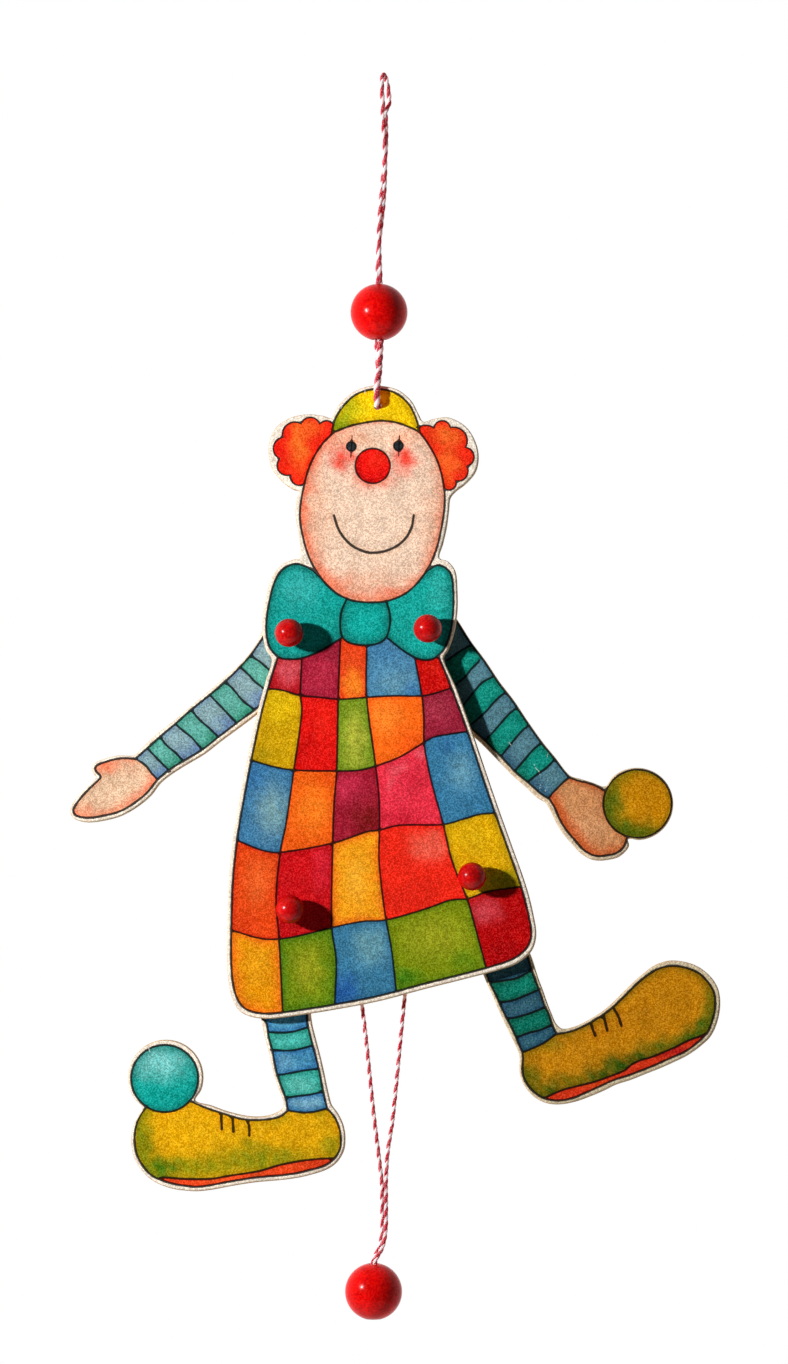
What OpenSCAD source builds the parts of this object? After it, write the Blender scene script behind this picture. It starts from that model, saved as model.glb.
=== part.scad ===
// Hanging jumping jack: a flat plywood clown whose arms and legs swing up when the bead is pulled.
// The frame's origin is the top of the hanging loop; the figure faces -Y and +Z is up.
// Outlines are drawn on the figure's own grid, [across, up] in mm from a point in the hat.

/* [Boards] */
// Thickness of the plywood of body, arms and legs
board_t = 4; // [3:0.5:5]
// Width of the body board across the smock
body_w = 108.2; // [100:0.2:120]
// Height of the body board from the hat to the hem
body_h = 221.6; // [205:0.2:240]
// Reach of the left arm from its pivot to the fingertips
arm_reach = 99.2; // [92:0.2:110]
// Drop of the left leg from its pivot to the sole
leg_drop = 99.5; // [92:0.2:110]

/* [Levers] */
// Gap between the tips of the two arm levers at mid swing
lever_gap = 2.4; // [1:0.2:4]
// Width of a lever across its rounded tip
lever_tip_d = 8; // [6:0.5:9]
// Angle of a lever above the horizontal at rest
lever_rest = 27.5; // [20:0.5:32]
// Clearance round the twine in a lever's hole
lever_hole_gap = 0.35; // [0.3:0.05:0.6]

/* [Pegs] */
// Diameter of a peg's shank, on which a limb turns
peg_d = 4; // [3.4:0.1:5]
// Diameter of a peg's ball head
peg_ball_d = 9.7; // [8:0.1:12]
// Diameter of the neck between the ball and the board
peg_neck_d = 5.6; // [5.2:0.1:7]
// Height of the ball's middle above the front of the board
peg_ball_h = 5.8; // [5.6:0.1:8]
// Diameter of the peg's tail in the retaining disc
peg_tail_d = 3; // [2:0.1:3.2]
// Clearance round a shank in the limb that turns on it
pivot_gap = 0.08; // [0.05:0.01:0.1]
// Clearance of a glued joint
glue_gap = 0.05; // [0.03:0.01:0.1]
// Side play of a limb against its spacer and its disc
side_gap = 0.3; // [0.3:0.05:0.6]

/* [Spacers and discs] */
// Diameter of a spacer between the body and a limb
spacer_d = 9; // [8:0.5:12]
// Thickness of a spacer
spacer_t = 1; // [0.8:0.1:2]
// Diameter of a retaining disc behind a limb
disc_d = 12; // [10:0.5:15]
// Thickness of a retaining disc
disc_t = 2.8; // [2.6:0.1:4]

/* [Twine and beads] */
// Diameter of the two-coloured twine
twine_d = 1.5; // [1.2:0.1:1.6]
// Diameter of a turned bead
bead_d = 20; // [18:0.5:22]
// Clearance of the doubled twine in a bead's bore
bore_gap = 0.35; // [0.3:0.05:0.6]
// Clearance of the twine in the hat's hole
hat_gap = 0.6; // [0.4:0.05:0.8]
// Diameter of a knot in the doubled twine
big_knot_d = 4.8; // [4.6:0.1:5.2]
// Height of a knot in the doubled twine
big_knot_h = 3.2; // [2.6:0.1:4]
// Diameter of a knot behind a lever
small_knot_d = 4.4; // [3.6:0.1:5]
// Thickness of a knot behind a lever
small_knot_t = 2.4; // [2:0.1:2.6]
// Depth of the recess under a bead, which hides its knot
recess_depth = 6; // [5:0.5:8]
// Depth by which a cord's end is sunk into a knot
knot_sink = 0.3; // [0.2:0.05:0.5]

/* [Hidden] */
$fn = 96;

// Colours of the paint, the wood and the twine
paint_red = [0.78, 0.05, 0.04];
smock_red = [0.85, 0.30, 0.16];
sleeve_teal = [0.20, 0.58, 0.53];
shoe_yellow = [0.83, 0.63, 0.06];
pale_wood = [0.86, 0.74, 0.56];
twine_pink = [0.86, 0.42, 0.47];

// Place of the figure's grid below and beside the top of the hanging loop
hang_drop = 116;
hang_side = -1.4;

// Depths, from the front of the body board to the back of the discs
body_back = board_t / 2;
limb_front = body_back + spacer_t + side_gap;
limb_back = limb_front + board_t;
disc_front = limb_back + side_gap;
disc_back = disc_front + disc_t;
knot_front = limb_back + side_gap;
link_y = knot_front + small_knot_t / 2;

// Steps of a board's smooth edge between two drawn points
edge_steps = 4;
// Sides of a twine tube
twine_sides = 8;
// Rise over which each doubled stretch turns once round itself, negative for the other way
above_pitch = -72;
below_pitch = 72;
pull_pitch = 36;

twine_r = twine_d / 2;
// The least gap of two strands half way along a step, and the most that a step turns
strand_gap = 0.05;
strand_step = 45;
strand_r = (twine_r + strand_gap / 2) / cos(strand_step / 2);
bore_d = 2 * (strand_r + twine_r + bore_gap);
hat_hole_d = twine_d + 2 * hat_gap;
lever_hole_d = twine_d + 2 * lever_hole_gap;
cut = 1;

// Edge of the body board, from the top of the hat clockwise, as drawn at its first size
drawn_body_w = 108.2;
drawn_body_h = 221.6;
body_edge = [
  [1, 6], [6.6, 4.6], [11.3, 0.8], [13.9, -3.9],
  [15.5, -6.5], [19, -5.6], [24, -5], [29.6, -7.6], [33, -11.8], [34.9, -17.8], [34.1, -23.8],
  [30.6, -28.2], [27, -31], [25.1, -33.4], [24.6, -37.5], [23.8, -43.7], [22.4, -49.7],
  [21.2, -54.2], [24.2, -55.5], [26.8, -59], [27.5, -65.2], [27.5, -73], [26.3, -80.8],
  [24.3, -86.6], [22.8, -89.6],
  [27, -99.5], [32.5, -114.5], [38.6, -132.4], [42.6, -143.9], [47.1, -156.4], [51.7, -169.5],
  [54.2, -179.5], [55.1, -186.5], [53.4, -192], [48.2, -196.3], [40.7, -198.9], [30.5, -201.6],
  [15.4, -205.4], [0.3, -209.4], [-15.8, -212.5], [-29.9, -214.7], [-38, -215.6], [-44.4, -215],
  [-49.1, -212.5], [-52, -206.3], [-53.1, -197], [-53.1, -184], [-52.6, -168], [-51.1, -152.8],
  [-48.4, -136.8], [-45.9, -123.7], [-42.4, -107.6], [-39.4, -96.6], [-37.5, -90],
  [-39.7, -86], [-40.8, -78], [-39.9, -69.8], [-37.8, -61.9], [-34.4, -57], [-30.3, -54.9],
  [-27.5, -54.2], [-28, -46.5], [-29.2, -39], [-28.7, -33.5], [-27.7, -31],
  [-30, -30.3], [-34, -27.3], [-37.6, -22.5], [-38.6, -15], [-36.2, -8.8], [-31, -5.2],
  [-25, -4], [-19.5, -4.5], [-16.6, -5.2], [-14, -0.6], [-8.8, 3.9], [-3.5, 5.9]];

// Edges of the limbs from their own pivots, without the tips of their levers
drawn_arm_reach = 99.2;
left_arm_edge = [
  [8, 10.4], [1.5, 9.8], [-4.5, 7.6], [-8.5, 3],
  [-11.5, -3.6], [-17.1, -10.7], [-22.6, -15.4], [-28.6, -20.7], [-34.6, -25.7], [-40.6, -30.8],
  [-46.6, -35.5], [-50.6, -39.1], [-54.6, -42.8], [-60.3, -43], [-65.2, -44.2], [-68.3, -45.6],
  [-69.4, -47.4], [-68.9, -49.3], [-67.9, -50.6], [-70, -53.2], [-73.9, -57], [-76.4, -60.4],
  [-77, -62.7], [-75.9, -64.9], [-73.2, -66.1], [-69.8, -66.5], [-64.6, -65.8], [-59.2, -64.3],
  [-53.9, -61.4], [-48.7, -57.2], [-45.3, -52.8], [-41.5, -49.7], [-36.5, -46.5],
  [-29.8, -42.5], [-24, -38], [-17.5, -33.2], [-12, -29], [-6.5, -24], [-1, -17.5],
  [3.5, -10.5], [8.5, -3.5]];

held_ball = [73.6, -61.5];
held_ball_r = 12.7;
right_arm_edge = concat(
  [[-8.5, 10.6], [-2, 10.6], [3.5, 10], [7.6, 6.8], [10.5, 3.2], [15.4, -4.5], [20.4, -11.2],
   [25.4, -18.7], [30.4, -25.2], [35.4, -32.7], [40.4, -39.7], [44.9, -45.2], [49.9, -51.4],
   [53.8, -52.7], [57.8, -53.9]],
  arc_points(held_ball, held_ball_r, 151, -104, 14),
  [[70.8, -76.2], [69.4, -78.4], [66.8, -80.3], [63, -81.2], [59.8, -81.4], [56.8, -80.7],
   [53.4, -78.5], [50.6, -75.4], [47.6, -71.9], [45.1, -67.8], [43.1, -63.6], [41.4, -61.1],
   [38.7, -59.4], [34.9, -55.9], [29.9, -51.5], [24.9, -46.4], [18.9, -40.3], [14.2, -36.2],
   [8, -30.5], [2.5, -23.5], [-2, -15.5], [-7.5, -5.5]]);

drawn_leg_drop = 99.5;
toe_ball = [-43.9, -59.6];
toe_ball_r = 13.2;
left_leg_edge = concat(
  [[8, 10.4], [1, 10.4], [-6, 8], [-10, 3.2], [-12, -5], [-12.3, -15], [-11.7, -26],
   [-10.9, -36], [-9.8, -41.6], [-8.8, -46.1], [-7.5, -51.2], [-6, -57.8], [-4.4, -62.9],
   [-2.6, -67.8], [-3, -70.5], [-5.8, -72.3], [-9.3, -73.2], [-13.5, -73.3], [-18.1, -72.6],
   [-23.2, -71.2], [-28.1, -69.4]],
  arc_points(toe_ball, toe_ball_r, -38, 232, 14),
  [[-53.3, -72.8], [-54.9, -75.7], [-55.9, -79.6], [-55.9, -83.5], [-54.9, -87.7],
   [-52.6, -91.7], [-49.3, -95.1], [-45.6, -97.2], [-41, -98.7], [-36.5, -99.3], [-33, -99.5],
   [-27.8, -99], [-19.8, -97.5], [-11.8, -96.3], [-3.8, -95.6], [2.3, -94.8], [7.5, -93.6],
   [12.8, -91.8], [16.4, -89.2], [18.8, -85], [19.2, -80.5], [18.5, -76.3], [16.7, -72.4],
   [14.4, -69.2], [13.6, -66.3], [12.9, -63.4], [11.7, -57.6], [10.3, -51.6], [8.7, -45.5],
   [7.5, -40.5], [6.9, -34], [6.8, -25], [7.2, -16], [9.5, -7]]);
right_leg_edge = [
  [-8, 10.4], [-1.5, 10.2], [5.5, 8.4], [9.6, 4], [11.5, -4], [14, -12.5], [17.4, -20.5],
  [21, -28.5], [23.5, -36.2], [25.2, -40.7], [26.7, -45], [28.1, -48.5], [29.7, -52.1],
  [32, -54], [36.4, -53.2], [40.5, -51.3], [45.4, -48.3], [48.9, -45.5], [52.3, -42.2],
  [56.2, -38.3], [60.3, -34.7], [64.4, -31.7], [68.7, -30.2], [72.3, -30.1], [77.1, -31.1],
  [81.1, -33.1], [84.6, -36.4], [86.8, -40.6], [87.3, -46], [86.3, -51.6], [84.2, -56.3],
  [81, -59.6], [76, -63.2], [70.8, -65.8], [65.8, -68], [60.7, -70], [56, -71.9], [50.7, -73.6],
  [46.7, -75.6], [41.7, -77.7], [37, -79.4], [32.3, -80.4], [28, -80.4], [24.8, -79.5],
  [21.6, -77.5], [19, -74.6], [17.4, -71.5], [16.8, -68], [16.9, -64.4], [16.3, -61.8],
  [14.3, -57.4], [12, -52.8], [9.7, -47.8], [7.7, -43], [5.6, -38.5], [3.3, -33.2], [-0.7, -25],
  [-5, -15], [-10, -6.5]];

// Holes of the body board on the drawn grid
drawn_hat_hole = [-0.5, -1];
drawn_left_shoulder = [-31.4, -80.5];
drawn_right_shoulder = [17, -79];
drawn_left_hip = [-31, -177];
drawn_right_hip = [32.5, -165.5];

hat_hole = on_body(drawn_hat_hole);
left_shoulder = on_body(drawn_left_shoulder);
right_shoulder = on_body(drawn_right_shoulder);
left_hip = on_body(drawn_left_hip);
right_hip = on_body(drawn_right_hip);

// The arm levers meet but for their gap; the legs have the same, so each side is a parallelogram
lever_tip_r = lever_tip_d / 2;
lever_r = (right_shoulder.x - left_shoulder.x - lever_gap) / 2 - lever_tip_r;
to_right = 1;
to_left = -1;
left_arm_hole = left_shoulder + lever_hole(to_right);
right_arm_hole = right_shoulder + lever_hole(to_left);
left_leg_hole = left_hip + lever_hole(to_right);
right_leg_hole = right_hip + lever_hole(to_left);

// Middles of the beads in the frame, and the tops of the knots in their recesses
hanging_bead_at = [-1.4, 0, -84.1];
pull_bead_at = [-3.3, 0, -427.2];
bead_r = bead_d / 2;
recess_d = big_knot_d + 2 * bore_gap;
recess_end = recess_depth - bead_r;
hanging_knot_top = hanging_bead_at.z + recess_end - side_gap;
hanging_knot_foot = hanging_knot_top - big_knot_h;
pull_knot_top = pull_bead_at.z + recess_end;

// Middle of the doubled twine above the knot: up through the hanging bead and on to the eye
above_knot = [
  [-1.4, 0, hanging_knot_top - knot_sink], [-1.4, 0, -74], [-1.4, 0, -60], [-0.1, 0, -43],
  [0.8, 0, -27], [0.4, 0, -14]];
// Turn of the front strand there, so that it leaves the doubled stretch in front
above_turn = -200;
// The eye of the loop, from the front strand over the top to the rear one
eye = [
  [-0.1, -2, -10.5], [-0.4, -2.8, -6.5], [-0.3, -2.4, -3.2], [0, -1.3, -1.2], [0.3, 0, -0.8],
  [0.8, 1.4, -1.4], [1.4, 2.6, -3.6], [2, 2.8, -7], [2.1, 2.1, -10.8]];
// Middle of the doubled twine from the knot down to where it parts
below_knot = [[-1.4, 0, hanging_knot_foot + knot_sink], [-1.4, 0, -104]];
below_turn = 70;
// The strand over the front of the hat, through its hole and up the back
round_hat = [
  [-1.7, -2.4, -107], [-2.1, -4.1, -112], [-2.1, -4, -115.2], [-2, -3, -116.7], [-1.9, -1.5, -117],
  [-1.9, 1.5, -117], [-2, 3, -116.7], [-2.1, 4, -115.2], [-2.1, 4.1, -112], [-1.7, 2.4, -107]];

// The pull cords from the leg levers to where they meet, then doubled down to the pull bead
left_run = [[-8, 6.2, -323], [-3.1, 4.6, -367], [-1.6, 3.8, -379]];
right_run = [[7.9, 6.2, -322], [3.4, 4.6, -367], [1.6, 3.8, -379]];
pull_pair = [
  [0.3, 3, -389.4], [0.4, 2, -398], [0.3, 1, -406], [-0.7, 0.3, -411.6], [-3.1, 0, -416.6],
  [-3.3, 0, -424], [-3.3, 0, pull_knot_top - knot_sink]];
// Turn of the right strand there, so that it enters the doubled stretch on the right
pull_turn = -66;
// Gap along a pull cord between its end and the knot on the leg's lever, where the linkage is open
open_gap = 0.6;

function on_body(p) = [p.x * body_w / drawn_body_w, p.y * body_h / drawn_body_h];

function in_frame(p, y) = [p.x + hang_side, y, p.y - hang_drop];

function arc_points(middle, r, from, to, steps) =
  [for (i = [0:steps]) let (a = from + (to - from) * i / steps) middle + r * [cos(a), sin(a)]];

function lever_hole(side) = lever_r * [side * cos(lever_rest), sin(lever_rest)];

// Half circle round the lever's hole, from the lower edge over the tip to the upper edge
function lever_tip(side) =
  [for (a = [-90:30:90]) lever_hole(side)
    + lever_tip_r * [side * cos(lever_rest + a), sin(lever_rest + a)]];

// Point at t on the cubic from b to c that leaves and arrives in line with its neighbours
function on_cubic(a, b, c, d, t) =
  let (
    before = norm(b - a),
    here = norm(c - b),
    after = norm(d - c),
    leave = (c - a) * here / (before + here),
    arrive = (d - b) * here / (here + after))
  (2 * t * t * t - 3 * t * t + 1) * b + (t * t * t - 2 * t * t + t) * leave
  + (3 * t * t - 2 * t * t * t) * c + (t * t * t - t * t) * arrive;

// Smooth closed edge through the points
function smooth_edge(points) =
  let (n = len(points))
  [for (i = [0:n - 1]) for (k = [0:edge_steps - 1])
    on_cubic(points[(i + n - 1) % n], points[i], points[(i + 1) % n], points[(i + 2) % n],
      k / edge_steps)];

// Smooth open line through the points, with one point added between each two
function smooth_line(points) =
  let (
    n = len(points),
    first = 2 * points[0] - points[1],
    last = 2 * points[n - 1] - points[n - 2],
    all = concat([first], points, [last]))
  [for (i = [0:2 * n - 2]) let (j = floor(i / 2))
    i % 2 == 0 ? points[j] : on_cubic(all[j], all[j + 1], all[j + 2], all[j + 3], 0.5)];

// One strand of a doubled twine that turns round the line as it rises
function strand(line, turn, pitch) =
  [for (p = smooth_line(line)) let (a = turn + 360 * p.z / pitch)
    p + strand_r * [cos(a), sin(a), 0]];

function reversed(list) = [for (i = [len(list) - 1:-1:0]) list[i]];

function unit(v) = v / norm(v);

// Round tube of twine along a path; no stretch of a path runs across the figure
module twine_tube(path) {
  n = len(path);
  rings = [for (i = [0:n - 1])
    let (
      along = unit(path[min(i + 1, n - 1)] - path[max(i - 1, 0)]),
      side = unit([1, 0, 0] - along.x * along),
      up = cross(along, side))
    for (k = [0:twine_sides - 1]) let (a = 360 * k / twine_sides)
      path[i] + twine_r * (cos(a) * side + sin(a) * up)];
  walls = [for (i = [0:n - 2]) for (k = [0:twine_sides - 1])
    let (next = (k + 1) % twine_sides, at = i * twine_sides)
    [at + k, at + twine_sides + k, at + twine_sides + next, at + next]];
  start = [for (k = [0:twine_sides - 1]) k];
  end = [for (k = [twine_sides - 1:-1:0]) (n - 1) * twine_sides + k];
  color(twine_pink) polyhedron(rings, concat([start], walls, [end]));
}

// Runs its children along +Y from the figure's grid point p at the depth y
module along_depth(p, y) {
  translate(in_frame(p, y)) rotate([-90, 0, 0]) children();
}

// Upright board with its front at the depth y, cut to a closed edge given from the grid point p
module board(edge, p, y) {
  translate(in_frame(p, y + board_t)) rotate([90, 0, 0])
    linear_extrude(board_t) polygon(smooth_edge(edge));
}

module through_hole(p, y, d) {
  along_depth(p, y - cut) cylinder(d = d, h = board_t + 2 * cut);
}

module body_board() {
  color(smock_red) difference() {
    board([for (p = body_edge) on_body(p)], [0, 0], -board_t / 2);
    through_hole(hat_hole, -board_t / 2, hat_hole_d);
    for (p = [left_shoulder, right_shoulder, left_hip, right_hip])
      through_hole(p, -board_t / 2, peg_d + 2 * glue_gap);
  }
}

// Limb with its lever to one side: a hole for the peg and a hole for the twine
module limb(edge, size, pivot, side) {
  difference() {
    board(concat([for (p = edge) p * size], lever_tip(side)), pivot, limb_front);
    through_hole(pivot, limb_front, peg_d + 2 * pivot_gap);
    through_hole(pivot + lever_hole(side), limb_front, lever_hole_d);
  }
}

module left_arm() {
  color(sleeve_teal) limb(left_arm_edge, arm_reach / drawn_arm_reach, left_shoulder, to_right);
}

module right_arm() {
  color(sleeve_teal) limb(right_arm_edge, arm_reach / drawn_arm_reach, right_shoulder, to_left);
}

module left_leg() {
  color(shoe_yellow) limb(left_leg_edge, leg_drop / drawn_leg_drop, left_hip, to_right);
}

module right_leg() {
  color(shoe_yellow) limb(right_leg_edge, leg_drop / drawn_leg_drop, right_hip, to_left);
}

// Ball-headed peg, from its ball in front of the body to its tail in the disc behind the limb
module peg(p) {
  ball_y = -board_t / 2 - peg_ball_h;
  color(paint_red) {
    translate(in_frame(p, ball_y)) sphere(d = peg_ball_d);
    along_depth(p, ball_y) cylinder(d = peg_neck_d, h = peg_ball_h);
    along_depth(p, ball_y) cylinder(d = peg_d, h = disc_front - ball_y);
    along_depth(p, ball_y) cylinder(d = peg_tail_d, h = disc_back - ball_y);
  }
}

module left_shoulder_peg() { peg(left_shoulder); }
module right_shoulder_peg() { peg(right_shoulder); }
module left_hip_peg() { peg(left_hip); }
module right_hip_peg() { peg(right_hip); }

// Flat ring round a peg
module ring(p, y, outer, inner, height) {
  color(pale_wood) difference() {
    along_depth(p, y) cylinder(d = outer, h = height);
    along_depth(p, y - cut) cylinder(d = inner, h = height + 2 * cut);
  }
}

module spacer(p) { ring(p, body_back, spacer_d, peg_d + 2 * glue_gap, spacer_t); }

module left_shoulder_spacer() { spacer(left_shoulder); }
module right_shoulder_spacer() { spacer(right_shoulder); }
module left_hip_spacer() { spacer(left_hip); }
module right_hip_spacer() { spacer(right_hip); }

module retaining_disc(p) { ring(p, disc_front, disc_d, peg_tail_d + 2 * glue_gap, disc_t); }

module left_shoulder_disc() { retaining_disc(left_shoulder); }
module right_shoulder_disc() { retaining_disc(right_shoulder); }
module left_hip_disc() { retaining_disc(left_hip); }
module right_hip_disc() { retaining_disc(right_hip); }

// Knot as a drum with a rounded rim, standing on z = 0
module knot(d, h) {
  rim = h / 2;
  color(twine_pink) rotate_extrude() {
    square([d / 2 - rim, h]);
    translate([d / 2 - rim, rim]) intersection() {
      circle(r = rim);
      translate([0, -rim]) square([rim, h]);
    }
  }
}

// The hanging loop above the knot: up in front, over the top and down behind
module hanging_cord() {
  twine_tube(concat(strand(above_knot, above_turn, above_pitch), eye,
    reversed(strand(above_knot, above_turn + 180, above_pitch))));
}

// The same twine below the knot: round the top of the hat, through its hole and back
module hat_cord() {
  twine_tube(concat(strand(below_knot, below_turn, below_pitch), round_hat,
    reversed(strand(below_knot, below_turn + 180, below_pitch))));
}

// Knot of the doubled twine in the recess under a bead
module bead_knot(at, top) {
  translate([at.x, at.y, top - big_knot_h]) knot(big_knot_d, big_knot_h);
}

module hanging_knot() { bead_knot(hanging_bead_at, hanging_knot_top); }
module pull_knot() { bead_knot(pull_bead_at, pull_knot_top); }

// Turned bead with a bore for the doubled twine and a recess under it for the knot
module bead(at) {
  color(paint_red) translate(at) difference() {
    sphere(d = bead_d);
    translate([0, 0, -bead_r - cut]) cylinder(d = bore_d, h = bead_d + 2 * cut);
    translate([0, 0, -bead_r - cut]) cylinder(d = recess_d, h = recess_depth + cut);
  }
}

module hanging_bead() { bead(hanging_bead_at); }
module pull_bead() { bead(pull_bead_at); }

// Knot behind a lever, with its tail in the lever's hole
module lever_knot(p) {
  along_depth(p, knot_front) knot(small_knot_d, small_knot_t);
  color(twine_pink) along_depth(p, limb_front + side_gap)
    cylinder(d = twine_d, h = knot_front - limb_front - side_gap + small_knot_t / 2);
}

module left_arm_knot() { lever_knot(left_arm_hole); }
module right_arm_knot() { lever_knot(right_arm_hole); }
module left_leg_knot() { lever_knot(left_leg_hole); }
module right_leg_knot() { lever_knot(right_leg_hole); }

// Taut twine from the arm's knot to the leg's knot, its ends sunk into both
module link_cord(from, to) {
  a = in_frame(from, link_y);
  b = in_frame(to, link_y);
  reach = small_knot_d / 2 - knot_sink;
  lean = atan2(b.x - a.x, b.z - a.z);
  color(twine_pink) translate(a + reach * unit(b - a)) rotate([0, lean, 0])
    cylinder(d = twine_d, h = norm(b - a) - 2 * reach);
}

module left_link_cord() { link_cord(left_arm_hole, left_leg_hole); }
module right_link_cord() { link_cord(right_arm_hole, right_leg_hole); }

// Start of a pull cord, clear of the knot that it hangs from
function pull_start(hole, run) =
  let (knot_at = in_frame(hole, link_y))
  knot_at + (small_knot_d / 2 + open_gap) * unit(run[0] - knot_at);

module left_pull_cord() {
  twine_tube(concat([pull_start(left_leg_hole, left_run)], left_run,
    strand(pull_pair, pull_turn + 180, pull_pitch)));
}

module right_pull_cord() {
  twine_tube(concat([pull_start(right_leg_hole, right_run)], right_run,
    strand(pull_pair, pull_turn, pull_pitch)));
}

body_board();
left_arm();
right_arm();
left_leg();
right_leg();
left_shoulder_peg();
right_shoulder_peg();
left_hip_peg();
right_hip_peg();
left_shoulder_spacer();
right_shoulder_spacer();
left_hip_spacer();
right_hip_spacer();
left_shoulder_disc();
right_shoulder_disc();
left_hip_disc();
right_hip_disc();
hanging_cord();
hat_cord();
hanging_knot();
hanging_bead();
left_link_cord();
right_link_cord();
left_arm_knot();
right_arm_knot();
left_leg_knot();
right_leg_knot();
left_pull_cord();
right_pull_cord();
pull_knot();
pull_bead();
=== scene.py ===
"""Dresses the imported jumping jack: printed plywood boards, red turned pegs and beads, and twine."""

import logging
import math
import random
from collections.abc import Sequence
from dataclasses import dataclass, field
from enum import Enum
from typing import Any

import bmesh
import bpy
import numpy as np
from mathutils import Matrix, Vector, geometry


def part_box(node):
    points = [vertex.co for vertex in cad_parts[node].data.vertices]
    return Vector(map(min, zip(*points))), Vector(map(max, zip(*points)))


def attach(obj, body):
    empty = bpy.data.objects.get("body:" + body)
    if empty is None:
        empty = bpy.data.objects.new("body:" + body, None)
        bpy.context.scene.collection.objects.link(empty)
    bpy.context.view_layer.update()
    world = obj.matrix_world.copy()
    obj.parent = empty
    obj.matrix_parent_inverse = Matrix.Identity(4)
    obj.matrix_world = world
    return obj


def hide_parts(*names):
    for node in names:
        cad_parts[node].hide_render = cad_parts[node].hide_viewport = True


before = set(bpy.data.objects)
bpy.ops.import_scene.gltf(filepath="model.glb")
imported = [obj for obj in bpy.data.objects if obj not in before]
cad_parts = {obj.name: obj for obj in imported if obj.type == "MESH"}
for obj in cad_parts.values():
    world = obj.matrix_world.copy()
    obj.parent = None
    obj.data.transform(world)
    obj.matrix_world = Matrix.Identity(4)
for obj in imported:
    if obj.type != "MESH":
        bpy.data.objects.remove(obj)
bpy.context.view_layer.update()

Socket = bpy.types.NodeSocket
MM = 0.001
LOG = logging.getLogger("jumping_jack")

# The figure's own grid lies this far from the top of the hanging loop, in millimetres
GRID_X = -1.4
GRID_Z = -116.0

# Pivots of the limbs on that grid
PIVOTS = {"left_arm": (-31.4, -80.5), "right_arm": (17.0, -79.0), "left_leg": (-31.0, -177.0),
          "right_leg": (32.5, -165.5)}

# Distance of a drawn line's points, how far round a line its distance is measured, what it is further out,
# and how many points are measured at once
PEN_STEP, PEN_REACH, FAR, POINTS_AT_ONCE = 0.8, 12, 99.0, 2000

# Side on which an edge's droop shows
LOWER_RIGHT = (0.62, -0.78)

# Distance in metres below which points are one, and distance of the rings of a twine's mesh
WELD, TWINE_STEP = 2e-6, 0.00045

# Where the middles of two plies pressed together lie, and their radius, as shares of the twine's radius
PLY_MIDDLE, PLY_RADIUS = 0.24, 0.76


def linear(code: str) -> np.ndarray:
    """Linear colour of a six-digit hex code."""
    srgb = np.array([int(code[i:i + 2], 16) for i in (0, 2, 4)]) / 255
    return np.where(srgb <= 0.04045, srgb / 12.92, ((srgb + 0.055) / 1.055) ** 2.4)


def opaque(code: str) -> tuple[float, float, float, float]:
    """Colour socket value of a six-digit hex code."""
    return (*linear(code).tolist(), 1.0)


# Lines of the drawing


def smooth(points: Sequence[Sequence[float]], step: float, closed: bool = False) -> np.ndarray:
    """A line of cubics through points, each in line with its neighbours.

    Args:
        points: The points, in two or three dimensions.
        step: The most that two points of the result are apart.
        closed: Whether the line runs back to its start, which isn't repeated.

    Returns:
        The line's points as rows.
    """
    given = np.array(points, float)
    if closed:
        ring = np.concatenate([given[-1:], given, given[:2]])
    else:
        ring = np.concatenate([2 * given[:1] - given[1:2], given, 2 * given[-1:] - given[-2:-1]])
    line = []
    for i in range(len(ring) - 3):
        a, b, c, d = ring[i:i + 4]
        before, here, after = (float(np.linalg.norm(q - p)) for p, q in ((a, b), (b, c), (c, d)))
        leave, arrive = (c - a) * here / (before + here), (d - b) * here / (here + after)
        steps = max(1, math.ceil(here / step))
        t = np.arange(steps)[:, None] / steps
        t2, t3 = t * t, t * t * t
        line.append((2 * t3 - 3 * t2 + 1) * b + (t3 - 2 * t2 + t) * leave + (3 * t2 - 2 * t3) * c
                    + (t3 - t2) * arrive)
    if not closed:
        line.append(given[-1:])
    return np.concatenate(line)


def read_points(text: str) -> np.ndarray:
    """Points written as x,y pairs with spaces between them."""
    return np.array([[float(n) for n in pair.split(",")] for pair in text.split()])


def trace(text: str) -> np.ndarray:
    """Smooth pen line through written points, in millimetres."""
    return smooth(read_points(text), PEN_STEP)


def traces(*texts: str) -> tuple[np.ndarray, ...]:
    """A smooth pen line through each row of written points."""
    return tuple(trace(text) for text in texts)


def closed(edge: np.ndarray) -> np.ndarray:
    """A closed edge with its start repeated."""
    return np.concatenate([edge, edge[:1]])


def joined(*lines: np.ndarray) -> np.ndarray:
    """One closed edge from lines that each end where the next starts."""
    return np.concatenate([line[:-1] for line in lines])


def arc(centre: Sequence[float], radius: float, start: float = 0.0, end: float = 360.0) -> np.ndarray:
    """Arc of a circle.

    Args:
        centre: Middle of the circle.
        radius: Its radius.
        start: Angle in degrees where the arc starts.
        end: Angle where it ends.

    Returns:
        The arc's points as rows.
    """
    steps = max(8, math.ceil(abs(math.radians(end - start)) * radius / PEN_STEP))
    turn = np.radians(np.linspace(start, end, steps + 1))
    return np.array(centre) + radius * np.stack([np.cos(turn), np.sin(turn)], 1)


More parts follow.
